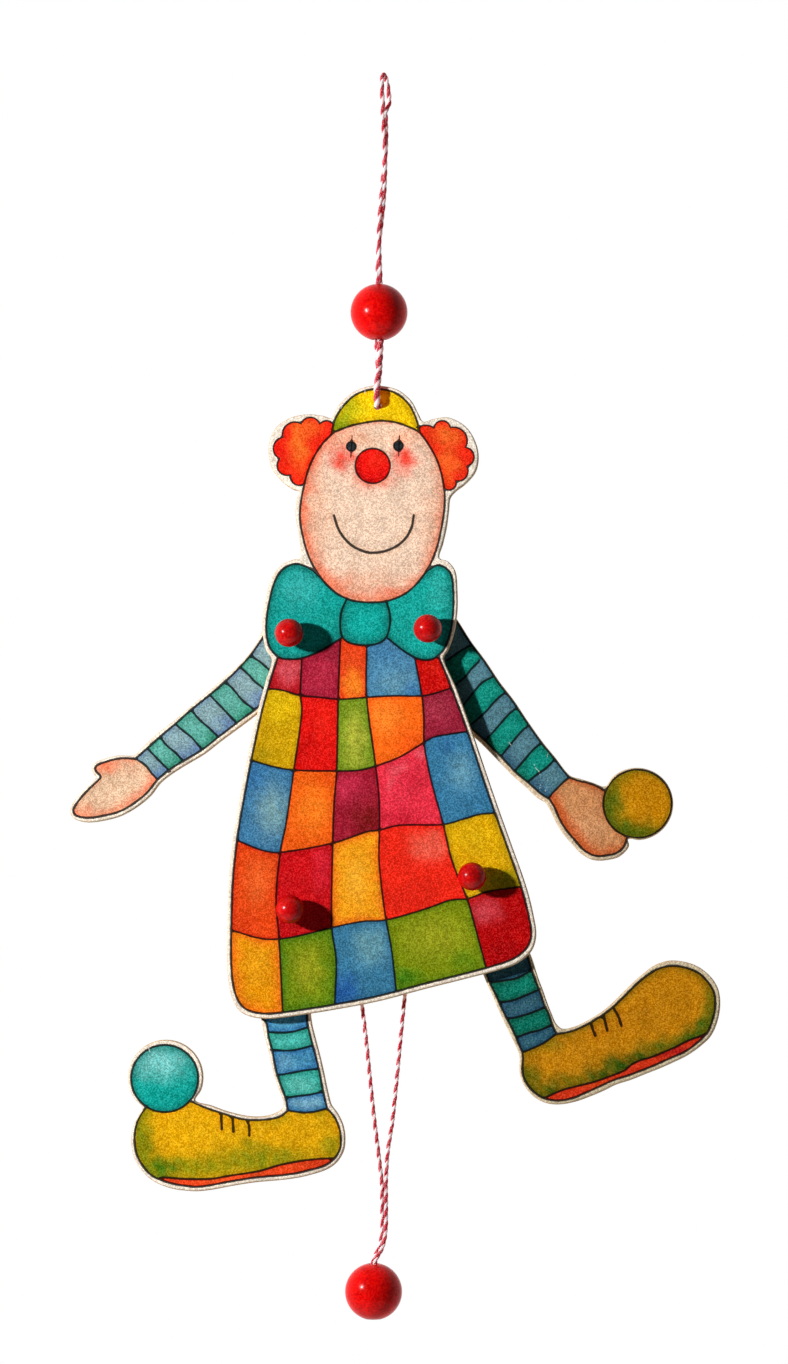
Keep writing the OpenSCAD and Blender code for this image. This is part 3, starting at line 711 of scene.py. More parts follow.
def right_leg_drawing() -> Drawing:
    """Striped stocking and a long shoe, from the leg's pivot. Its washes and margin are painted darker than
    the left leg's, as painted shade of weaker light on the right.

    Returns:
        The drawing.
    """
    shin = trace("5,-34 6.5,-38 8.5,-42 10.5,-46.5 12.5,-50.5 14.5,-54.5 16,-58 17.8,-62")
    calf = trace("29.8,-55.6 28.3,-52.5 27,-48.5 25.5,-45.5 24,-41 22.3,-36.5 21,-33 19.8,-29")
    hidden = trace("19.8,-29 16,-21 12.7,-13 10,-4 8,3 4,6.2 -1.5,8 -6,6.6 -6.6,1 -6,-7 -3,-15 1,-24 5,-34")
    collar = trace("17.8,-62 20,-61.3 25,-59 29.8,-55.6")
    shoe = trace("17.8,-62 18,-64.5 17.8,-68 18.3,-71 20,-74 22.5,-76.5 25.5,-78.3 30,-79 35,-78.3 40,-76.3"
                 " 45,-74 50,-71.8 55,-70.2 60,-68.3 65,-66.3 70,-64 75,-61.8 80,-58 82.7,-55.2 84.5,-51"
                 " 85.5,-46 85,-41 83,-37.5 80,-34.5 76.5,-32.8 72,-31.8 69,-31.8 65,-33 61,-35.5 57,-39"
                 " 53,-43 49.5,-46.3 46,-49 41,-52 37,-54 33,-55.2 29.8,-55.6")
    welt = trace("25.3,-78.3 29,-76.5 33,-75 37,-74 41,-73 45,-71.8 50,-70 53.5,-68.5 56,-66.5 59,-65"
                 " 63,-63.8 68,-61.8 72,-60 76,-58 80,-56.5 82.6,-55.3")
    stripes = traces(
        "7,-37.5 12,-36.8 16,-36 21.2,-33.2", "10,-44.5 14,-44 18,-42.5 24,-40",
        "12.8,-50.3 17,-49.5 21,-48.2 26,-46.2", "15.6,-57 20,-55.3 24,-54.3 28.3,-52.4")
    laces = traces("41.8,-51.8 42.5,-54 43.4,-56.2", "46.2,-49.3 47,-52 47.6,-54.5",
                   "49.7,-46.5 51.5,-49.5 52.6,-52.9")
    # Painted shade: these washes are darker than the left leg's, standing for weaker light on the right
    blue = wash("32606e", "17,-47,6,3,3c6c80,.6 23,-57,6,3,3c7084,.6", "184c6c,1.8,.6")
    green = wash("027460", "18,-40,5,3,088c76,.6", "045240,1.6,.6")
    ochre = wash("c68404", "20.5,-71,4,6,5c6402,.95 36,-73,12,4,7c6c02,.95 46,-70,6,3,3c5802,.9 "
                 "53,-66.6,8,3.6,2c5402,.98 61,-63.6,6,3,3c5802,.9 70,-60,10,3.4,5c6804,.95 "
                 "84,-48,3,9,68740a,.9 77.6,-57,5,3,2c6402,.95 82,-53,3.4,4,3c6806,.9 "
                 "27,-60,5,3,8c7402,.7 60,-48,10,8,c48006,.5 26,-76.6,6,2.4,445c02,.9",
                 "706c02,1.6,.6")
    sole = wash("d83a16", "70,-61.8,10,2,b80c18,.8 45,-73.5,10,2,e4541a,.6")
    shaft = joined(shin, collar, calf, hidden)
    foot = joined(shoe, collar[::-1])
    areas = [Area(shaft, (blue, green, blue, green, blue), stripes, pen_rims=True),
             Area(foot, (ochre, sole), (welt,))]
    pen = [(line, 1.0) for line in (np.concatenate([calf, hidden[1:], shin[1:]]), shoe)]
    pen += [(line, 0.95) for line in (collar, welt, *stripes)] + [(lace, 1.2) for lace in laces]
    # Painted shade: the darker margin stands for weaker light on the right
    return Drawing(areas, pen, paper="dacdb0")


# Node trees


class Tree:
    """A node tree with short calls for placing and linking its nodes."""

    def __init__(self, tree: bpy.types.NodeTree) -> None:
        """Takes the tree that the calls fill."""
        self.tree = tree

    @classmethod
    def group(cls, name: str, kind: str, inputs: dict[str, str], outputs: dict[str, str]) -> "Tree":
        """Starts a node group.

        Args:
            name: Name of the group.
            kind: Type of its tree.
            inputs: Kind of each input by name.
            outputs: Kind of each output by name.

        Returns:
            The empty tree with its sockets.
        """
        tree = bpy.data.node_groups.new(name, kind)
        for side, sockets in (("INPUT", inputs), ("OUTPUT", outputs)):
            for label, socket in sockets.items():
                tree.interface.new_socket(name=label, in_out=side, socket_type="NodeSocket" + socket)
        return cls(tree)

    def node(self, kind: str, inputs: dict[Any, Any] | None = None, **settings: Any) -> bpy.types.Node:
        """Places a node.

        Args:
            kind: Type of the node.
            inputs: A value or a socket to link for each input, by name or number.
            **settings: The node's own settings.

        Returns:
            The node.
        """
        node = self.tree.nodes.new(kind)
        for key, value in settings.items():
            setattr(node, key, value)
        for key, value in (inputs or {}).items():
            if isinstance(value, Socket):
                self.tree.links.new(value, node.inputs[key])
            else:
                node.inputs[key].default_value = value
        return node

    def made(self, kind: str, inputs: dict[Any, Any] | None = None, **settings: Any) -> Socket:
        """First output of a new node."""
        return self.node(kind, inputs, **settings).outputs[0]

    def math(self, operation: str, *values: Any) -> Socket:
        """Result of a sum on one to three values."""
        return self.made("ShaderNodeMath", dict(enumerate(values)), operation=operation)

    def times(self, a: Any, b: Any) -> Socket:
        """Product of two values."""
        return self.math("MULTIPLY", a, b)

    def put(self, group: str, **inputs: Any) -> Any:
        """Places a shader group and gives its outputs."""
        return self.node("ShaderNodeGroup", inputs, node_tree=bpy.data.node_groups[group]).outputs

    def bump(self, height: Any, strength: float, depth: float) -> Socket:
        """Normal of a surface that a height raises by up to a depth in metres."""
        return self.made("ShaderNodeBump", {"Height": height, "Strength": strength, "Distance": depth})

    def scaled(self, vector: Any, by: Any) -> Socket:
        """A vector or colour multiplied by a value."""
        return self.made("ShaderNodeVectorMath", {0: vector, "Scale": by}, operation="SCALE")

    def mix(self, share: Any, a: Any, b: Any, blend: str = "MIX") -> Socket:
        """Colour a turned into b by a share."""
        inputs = {0: share, 6: a, 7: b}
        return self.node("ShaderNodeMix", inputs, data_type="RGBA", blend_type=blend).outputs[2]

    def ease(self, value: Any, low: Any, high: Any, start: float = 0.0,
             end: float = 1.0) -> Socket:
        """A value's smooth step from start at low to end at high."""
        inputs = {"Value": value, "From Min": low, "From Max": high, "To Min": start, "To Max": end}
        return self.made("ShaderNodeMapRange", inputs, interpolation_type="SMOOTHSTEP")

    def noise(self, vector: Any, scale: Any, detail: float = 2.0,
              roughness: float = 0.5) -> Socket:
        """Noise with hills about 1 / scale apart."""
        inputs = {"Vector": vector, "Scale": scale, "Detail": detail, "Roughness": roughness}
        return self.made("ShaderNodeTexNoise", inputs)

    def stretched(self, vector: Any, by: tuple[float, float, float]) -> Socket:
        """Coordinates scaled apart on each axis."""
        return self.made("ShaderNodeMapping", {"Vector": vector, "Scale": by})

    def place(self) -> Socket:
        """The object's own coordinates in metres."""
        return self.node("ShaderNodeTexCoord").outputs["Object"]

    def attribute(self, name: str, output: str = "Fac") -> Socket:
        """A value that the mesh carries, for a shader."""
        return self.node("ShaderNodeAttribute", attribute_name=name).outputs[output]

    def position(self) -> Socket:
        """Where each point of a geometry tree lies."""
        return self.made("GeometryNodeInputPosition")

    def store(self, shape: Any, name: str, value: Any) -> Socket:
        """A geometry whose points carry a named value.

        Args:
            shape: The geometry.
            name: Name of the value.
            value: The value.

        Returns:
            The geometry with it.
        """
        inputs = {"Geometry": shape, "Name": name, "Value": value}
        return self.made("GeometryNodeStoreNamedAttribute", inputs, data_type="FLOAT", domain="POINT")

    def stored(self, name: str) -> Socket:
        """A value stored earlier in a geometry tree."""
        return self.made("GeometryNodeInputNamedAttribute", {"Name": name}, data_type="FLOAT")


def fleck_group() -> None:
    """Makes the group of fine dark and light flecks, used by every finish."""
    tree = Tree.group("flecks", "ShaderNodeTree",
                      {"Vector": "Vector", "Scale": "Float"}, {"Dark": "Float", "Light": "Float"})
    given = tree.node("NodeGroupInput").outputs
    fine = tree.noise(given["Vector"], given["Scale"], 1.0, 0.6)
    tree.node("NodeGroupOutput", {"Dark": tree.ease(fine, 0.5, 0.36), "Light": tree.ease(fine, 0.5, 0.64)})


def grain_group() -> None:
    """Makes the group of long wood grain with fine pores, used by print, ply and turned wood."""
    tree = Tree.group("wood_grain", "ShaderNodeTree",
                      {"Vector": "Vector", "Bend": "Float"}, {"Grain": "Float", "Pores": "Float"})
    given = tree.node("NodeGroupInput").outputs
    vector = given["Vector"]
    drift = tree.times(tree.noise(tree.stretched(vector, (60, 60, 14)), 1, 2), given["Bend"])
    shifted = tree.made("ShaderNodeVectorMath",
                        {0: tree.stretched(vector, (420, 420, 26)), 1: tree.scaled((8.0, 8.0, 0.0), drift)},
                        operation="ADD")
    pores = tree.ease(tree.noise(tree.stretched(vector, (2600, 2600, 240)), 1, 1), 0.56, 0.72)
    tree.node("NodeGroupOutput", {"Grain": tree.noise(shifted, 1, 3, 0.6), "Pores": pores})


# Finishes


def new_material(name: str) -> tuple[bpy.types.Material, Tree]:
    """An empty material.

    Args:
        name: Its name.

    Returns:
        The material and its tree.
    """
    material = bpy.data.materials.new(name)
    material.use_nodes = True
    material.node_tree.nodes.clear()
    return material, Tree(material.node_tree)


def surface(tree: Tree, constants: dict[str, Any], lets_through: tuple[float, ...] | None = None,
            **links: Any) -> None:
    """Ends a material in one Principled BSDF.

    Args:
        tree: The material's tree.
        constants: Values that are the same all over.
        lets_through: Colour of the light that passes through loose fibres, if any does.
        **links: Sockets for Base_Color, Roughness and Normal.
    """
    inputs = {**constants, **{key.replace("_", " "): value for key, value in links.items()}}
    shown = tree.made("ShaderNodeBsdfPrincipled", inputs)
    if lets_through:
        thin = tree.made("ShaderNodeBsdfTransparent", {"Color": lets_through})
        lit = tree.node("ShaderNodeLightPath").outputs["Is Shadow Ray"]
        shown = tree.made("ShaderNodeMixShader", {0: lit, 1: shown, 2: thin})
    tree.node("ShaderNodeOutputMaterial", {"Surface": shown})


@dataclass(frozen=True)
class PrintFinish:
    """Watercolour print under satin varnish.

    Attributes:
        pen_half: Half width of a pen line of width 1, in millimetres.
        pen_sway: How much that half width comes and goes.
        pen_soft: Softness of the line's edge.
        scratch_half: Half width of a scratch.
        bare: Colour of the wood in a scratch.
    """

    pen_half: float = 0.42
    pen_sway: float = 0.06
    pen_soft: float = 0.07
    scratch_half: float = 0.04
    bare: tuple[float, ...] = (0.86, 0.82, 0.74, 1)

    def material(self) -> bpy.types.Material:
        """Builds the material; the mesh carries wash, pen and scratch.

        Returns:
            The material.
        """
        material, tree = new_material("printed_watercolour")
        place = tree.place()
        washed, pen = tree.attribute("wash", "Color"), tree.attribute("pen")
        cloud, mottle = tree.noise(place, 170, 4, 0.6), tree.noise(place, 520, 2, 0.6)
        speck = tree.put("flecks", Vector=place, Scale=2300.0)
        wood = tree.put("wood_grain", Vector=place, Bend=0.4)["Grain"]
        colour = tree.scaled(washed, tree.ease(cloud, 0.3, 0.7, 0.9, 1.09))
        colour = tree.scaled(colour, tree.ease(mottle, 0.32, 0.68, 0.94, 1.06))
        deeper = tree.mix(1.0, colour, tree.mix(0.4, (1, 1, 1, 1), colour), "MULTIPLY")
        pooled = tree.times(tree.ease(pen, 0.3, 2.4, 0.9, 0.0), tree.ease(cloud, 0.35, 0.6, 0.35, 1))
        colour = tree.mix(pooled, colour, deeper)
        colour = tree.scaled(colour, tree.ease(wood, 0.3, 0.7, 0.94, 1.05))
        dark, light = tree.times(speck["Dark"], 0.8), tree.times(speck["Light"], 0.7)
        colour = tree.mix(dark, colour, tree.mix(1.0, deeper, (0.84, 0.71, 0.62, 1), "MULTIPLY"))
        colour = tree.mix(light, colour, tree.mix(0.025, tree.scaled(colour, 1.5), (1.0, 0.95, 0.85, 1)))
        half = tree.ease(tree.noise(place, 420, 2), 0.3, 0.7, self.pen_half - self.pen_sway,
                         self.pen_half + self.pen_sway)
        inked = tree.ease(pen, tree.math("SUBTRACT", half, self.pen_sway),
                          tree.math("ADD", half, self.pen_soft), 1.0, 0.0)
        ink = tree.made("ShaderNodeVectorMath", {0: tree.scaled(washed, 0.06), 1: (0.004, 0.003, 0.003)},
                        operation="ADD")
        colour = tree.mix(inked, colour, ink)
        rubbed = tree.ease(tree.attribute("scratch"), self.scratch_half, self.scratch_half + 0.1, 0.85, 0.0)
        worn = tree.ease(tree.noise(place, 1300, 1), 0.34, 0.5)
        colour = tree.mix(tree.times(rubbed, worn), colour, self.bare)
        height = tree.math("ADD", tree.times(speck["Dark"], -0.5), tree.times(wood, 0.8))
        surface(tree, {"Specular IOR Level": 0.03}, Base_Color=colour,
                Normal=tree.bump(height, 0.35, 0.00006), Roughness=tree.ease(cloud, 0.3, 0.7, 0.5, 0.62))
        return material


@dataclass(frozen=True)
class PlyFinish:
    """Bare three-ply birch: pale faces with a darker core that shows on the cut edge.

    Attributes:
        name: Name of the material.
        core: Depth of the core's middle in the frame, in metres.
    """

    name: str
    core: float

    def material(self) -> bpy.types.Material:
        """Builds the material.

        Returns:
            The material.
        """
        material, tree = new_material(self.name)
        place = tree.place()
        wood = tree.put("wood_grain", Vector=place, Bend=0.9)
        speck = tree.put("flecks", Vector=place, Scale=1900.0)["Dark"]
        depth = tree.node("ShaderNodeSeparateXYZ", {0: place}).outputs[1]
        off = tree.math("ABSOLUTE", tree.math("SUBTRACT", depth, self.core))
        wavy = tree.math("ADD", off, tree.times(tree.noise(place, 260, 2), 0.00012))
        core_half = 0.00068
        core = tree.ease(wavy, core_half - 0.00004, core_half + 0.00016, 1.0, 0.0)
        dark, pale, pore, inner = map(opaque, ("caa67c", "dfc6a2", "a27c4c", "8f6a40"))
        face = tree.mix(tree.ease(wood["Grain"], 0.32, 0.68), dark, pale)
        face = tree.mix(tree.times(wood["Pores"], 0.35), face, pore)
        colour = tree.mix(tree.times(core, 0.75), face, inner)
        colour = tree.mix(tree.times(speck, 0.3), colour, tree.scaled(colour, 0.55))
        height = tree.math("ADD", wood["Grain"], tree.times(speck, -0.6))
        surface(tree, {"Specular IOR Level": 0.1}, Base_Color=colour, Normal=tree.bump(height, 0.5, 0.0001),
                Roughness=tree.ease(wood["Grain"], 0.3, 0.7, 0.62, 0.78))
        return material


@dataclass(frozen=True)
class TurnedWoodFinish:
    """Smooth bare beech of the spacers and discs.

    Attributes:
        dark: Hex code of the dark grain.
        pale: Hex code of the pale grain.
    """

    dark: str = "bf9862"
    pale: str = "dcc092"

    def material(self) -> bpy.types.Material:
        """Builds the material.

        Returns:
            The material.
        """
        material, tree = new_material("turned_beech")
        place = tree.place()
        wood = tree.put("wood_grain", Vector=place, Bend=0.5)
        speck = tree.put("flecks", Vector=tree.stretched(place, (1, 1, 0.2)), Scale=2400.0)["Dark"]
        colour = tree.mix(tree.ease(wood["Grain"], 0.3, 0.7), opaque(self.dark), opaque(self.pale))
        colour = tree.mix(tree.times(speck, 0.4), colour, tree.scaled(colour, 0.6))
        surface(tree, {"Specular IOR Level": 0.15}, Base_Color=colour,
                Normal=tree.bump(wood["Grain"], 0.3, 0.00008),
                Roughness=tree.ease(wood["Pores"], 0, 1, 0.48, 0.6))
        return material


@dataclass(frozen=True)
class LacquerFinish:
    """Glossy red lacquer with a faint orange peel over turned wood.

    Attributes:
        name: Name of the material.
        bright: Hex code where the coat is thin.
        dull: Hex code where it is thick.
        gloss: Its specular level.
        glint: Hex code of its light flecks.
    """

    name: str = "red_lacquer"
    bright: str = "e40306"
    dull: str = "c80204"
    gloss: float = 0.08
    glint: str = "ff3214"

    def material(self) -> bpy.types.Material:
        """Builds the material.

        Returns:
            The material.
        """
        material, tree = new_material(self.name)
        place = tree.place()
        cloud = tree.noise(place, 240, 3)
        speck = tree.put("flecks", Vector=place, Scale=1300.0)
        colour = tree.mix(tree.ease(cloud, 0.3, 0.7), opaque(self.dull), opaque(self.bright))
        colour = tree.mix(tree.times(speck["Dark"], 0.45), colour, tree.scaled(colour, 0.5))
        colour = tree.mix(tree.times(speck["Light"], 0.2), colour, opaque(self.glint))
        surface(tree, {"Specular IOR Level": self.gloss}, Base_Color=colour,
                Normal=tree.bump(tree.noise(place, 620, 2), 0.25, 0.00012),
                Roughness=tree.ease(cloud, 0.3, 0.7, 0.19, 0.25))
        return material


@dataclass(frozen=True)
class TwineFinish:
    """Cotton twine of a red and a white ply, with painted shade in the groove between them.

    Attributes:
        name: Name of the material.
        red_from: Where on the profile, from -1 in the white ply to 1 in the red one, the red begins.
        shine: Colour of the light that passes through.
    """

    name: str
    red_from: float
    shine: tuple[float, ...] = (0.5, 0.2, 0.2, 1.0)

    def material(self) -> bpy.types.Material:
        """Builds the material; the mesh carries ply, side and along.

        Returns:
            The material.
        """
        material, tree = new_material(self.name)
        ply, side, along = (tree.attribute(name) for name in ("ply", "side", "along"))
        lay = tree.made("ShaderNodeCombineXYZ", {0: ply, 1: side, 2: tree.times(along, 500)})
        fibres = tree.noise(tree.stretched(lay, (5, 5, 1.4)), 1, 3, 0.65)
        speck = tree.put("flecks", Vector=tree.place(), Scale=2600.0)["Light"]
        shifted = tree.math("ADD", ply, tree.times(tree.math("SUBTRACT", fibres, 0.5), 0.7))
        white, red, shade, fluff, deep = map(opaque, ("f3d8da", "b20c2a", "8c1230", "fbf2ee", "98203c"))
        colour = tree.mix(tree.ease(shifted, self.red_from - 0.12, self.red_from + 0.12), white, red)
        shaded = tree.mix(0.5, colour, shade)
        colour = tree.mix(tree.ease(fibres, 0.62, 0.34, 0.0, 0.4), colour, shaded)
        colour = tree.mix(tree.times(speck, 0.3), colour, fluff)
        # Painted shade: the groove between the two plies is darkened with a deep red
        colour = tree.mix(tree.ease(tree.math("ABSOLUTE", ply), 0.0, 0.3, 0.3, 0.0), colour, deep)
        surface(tree, {"Specular IOR Level": 0.05, "Sheen Weight": 0.1, "Sheen Roughness": 0.6,
                       "Subsurface Weight": 0.95, "Subsurface Radius": (1.0, 0.6, 0.6),
                       "Subsurface Scale": 0.0022}, lets_through=self.shine,
                Base_Color=colour, Normal=tree.bump(fibres, 0.7, 0.00018),
                Roughness=tree.ease(fibres, 0.3, 0.7, 0.8, 0.95))
        return material


@dataclass(frozen=True)
class Finishes:
    """Every finish of the toy."""

    printed: bpy.types.Material
    body_ply: bpy.types.Material
    limb_ply: bpy.types.Material
    beech: bpy.types.Material
    lacquer: bpy.types.Material
    peg_lacquer: bpy.types.Material
    twine: bpy.types.Material
    pull_twine: bpy.types.Material

    @classmethod
    def build(cls) -> "Finishes":
        """Makes the two groups and the materials.

        Returns:
            The finishes, each built once.
        """
        fleck_group()
        grain_group()
        return cls(*(finish.material() for finish in (
            PrintFinish(), PlyFinish("body_ply", 0.0), PlyFinish("limb_ply", 0.0053), TurnedWoodFinish(),
            LacquerFinish(), LacquerFinish("peg_lacquer", "c8040a", "a80308", 0.13),
            TwineFinish("twine", -0.28), TwineFinish("pull_twine", -0.3))))


# Geometry trees


def link_new(name: str, data: bpy.types.ID) -> bpy.types.Object:
    """A new object in the scene.

    Args:
        name: Name of the object.
        data: Its mesh, camera or lamp.

    Returns:
        The object.
    """
    made = bpy.data.objects.new(name, data)
    bpy.context.scene.collection.objects.link(made)
    return made


def grow(name: str, points: np.ndarray, tree: bpy.types.NodeTree,
         inputs: dict[str, Any]) -> bpy.types.Object:
    """Runs a geometry tree on a line of points and keeps the result as a plain mesh.

    Args:
        name: Name of the new piece.
        points: The line's points in metres.
        tree: The geometry tree.
        inputs: Values of the tree's inputs by name.

    Returns:
        The piece, with its faces pointing outwards.
    """
    line = bpy.data.meshes.new(name + "_line")
    line.from_pydata(points.tolist(), [(i, i + 1) for i in range(len(points) - 1)], [])
    host = link_new(name + "_line", line)
    modifier = host.modifiers.new(tree.name, "NODES")
    modifier.node_group = tree
    sockets = {item.name: item.identifier for item in tree.interface.items_tree
               if item.item_type == "SOCKET" and item.in_out == "INPUT"}
    for key, value in inputs.items():
        modifier[sockets[key]] = value
    mesh = bpy.data.meshes.new_from_object(host.evaluated_get(bpy.context.evaluated_depsgraph_get()))
    bpy.data.objects.remove(host)
    bpy.data.meshes.remove(line)
    mesh.name = name
    work = bmesh.new()
    work.from_mesh(mesh)
    bmesh.ops.recalc_face_normals(work, faces=work.faces)
    work.to_mesh(mesh)
    work.free()
    return link_new(name, mesh)


def finished(tree: Tree, shape: Socket, given: Any) -> bpy.types.NodeTree:
    """Ends a geometry tree.

    Args:
        tree: The tree.
        shape: Socket of the shape that it made.
        given: Outputs of its input node, one of them a material.

    Returns:
        The group, whose shape is smooth, realized and dressed in that material.
    """
    shape = tree.made("GeometryNodeSetShadeSmooth", {"Geometry": shape})
    shape = tree.made("GeometryNodeRealizeInstances", {"Geometry": shape})
    shape = tree.made("GeometryNodeSetMaterial", {"Geometry": shape, "Material": given["Material"]})
    tree.node("NodeGroupOutput", {"Geometry": shape})
    return tree.tree


def lathe_tree() -> bpy.types.NodeTree:
    """Turns a profile of radius and height round its axis and sets the piece in place.

    Returns:
        The geometry group.
    """
    tree = Tree.group("lathe", "GeometryNodeTree", {
        "Geometry": "Geometry", "Sides": "Int", "Centre": "Vector", "Lay": "Vector", "Turn": "Float",
        "Material": "Material"}, {"Geometry": "Geometry"})
    given = tree.node("NodeGroupInput").outputs
    profile, sides = given["Geometry"], given["Sides"]
    count = tree.made("GeometryNodeAttributeDomainSize", {"Geometry": profile}, component="MESH")
    columns = tree.math("ADD", sides, 1.0)
    grid = tree.made("GeometryNodeMeshGrid", {"Vertices X": count, "Vertices Y": columns})
    index = tree.made("GeometryNodeInputIndex")
    step = tree.math("FLOOR", tree.math("DIVIDE", tree.math("ADD", index, 0.5), columns))
    around = tree.math("SUBTRACT", index, tree.times(step, columns))
    angle = tree.math("ADD", tree.times(around, tree.math("DIVIDE", math.tau, sides)), given["Turn"])
    sample = {"Geometry": profile, "Value": tree.position(), "Index": step}
    drawn = tree.made("GeometryNodeSampleIndex", sample, data_type="FLOAT_VECTOR", domain="POINT")
    radius, _, height = tree.node("ShaderNodeSeparateXYZ", {0: drawn}).outputs
    turned = tree.made("ShaderNodeCombineXYZ", {
        0: tree.times(radius, tree.math("COSINE", angle)),
        1: tree.times(radius, tree.math("SINE", angle)), 2: height})
    shape = tree.made("GeometryNodeSetPosition", {"Geometry": grid, "Position": turned})
    shape = tree.made("GeometryNodeMergeByDistance", {"Geometry": shape, "Distance": WELD})
    shape = tree.made("GeometryNodeTransform", {"Geometry": shape, "Translation": given["Centre"],
                                                "Rotation": given["Lay"]})
    return finished(tree, shape, given)


def twine_tree() -> bpy.types.NodeTree:
    """Lays two plies round each other along a line.

    Returns:
        The geometry group.
    """
    tree = Tree.group("twine", "GeometryNodeTree", {
        "Geometry": "Geometry", "Thickness": "Float", "Lay": "Float", "Sides": "Int",
        "Material": "Material"}, {"Geometry": "Geometry"})
    given = tree.node("NodeGroupInput").outputs
    curve = tree.made("GeometryNodeMeshToCurve", {"Mesh": given["Geometry"]})
    curve = tree.made("GeometryNodeResampleCurve", {"Curve": curve, "Length": TWINE_STEP}, mode="LENGTH")
    along = tree.node("GeometryNodeSplineParameter").outputs["Length"]
    curve = tree.store(curve, "along", along)
    tilt = tree.math("DIVIDE", tree.times(along, math.tau), given["Lay"])
    curve = tree.made("GeometryNodeSetCurveTilt", {"Curve": curve, "Tilt": tilt})
    circle = {"Resolution": given["Sides"], "Radius": 1.0}
    ring = tree.made("GeometryNodeCurvePrimitiveCircle", circle, mode="RADIUS")
    x, y, _ = tree.node("ShaderNodeSeparateXYZ", {0: tree.position()}).outputs
    ring = tree.store(tree.store(ring, "ply", x), "side", y)
    chord = tree.math("SQRT", tree.math("SUBTRACT", PLY_RADIUS ** 2, tree.times(
        tree.math("POWER", tree.stored("side"), 2.0), PLY_MIDDLE ** 2)))
    reach = tree.math("ADD", tree.times(tree.math("ABSOLUTE", tree.stored("ply")), PLY_MIDDLE), chord)
    half = tree.times(given["Thickness"], 0.5)
    ring = tree.made("GeometryNodeSetPosition", {
        "Geometry": ring, "Position": tree.scaled(tree.position(), tree.times(reach, half))})
    shape = tree.made("GeometryNodeCurveToMesh", {"Curve": curve, "Profile Curve": ring, "Fill Caps": True})
    return finished(tree, shape, given)


# Pieces


def settle(piece: bpy.types.Object, body: str, node: str) -> None:
    """Hands a finished piece over.

    Args:
        piece: The piece.
        body: Body that it rides on.
        node: CAD node that it stands for.
    """
    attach(piece, body)
    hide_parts(node)
    LOG.info("%s: %d faces on %s", piece.name, len(piece.data.polygons), body)


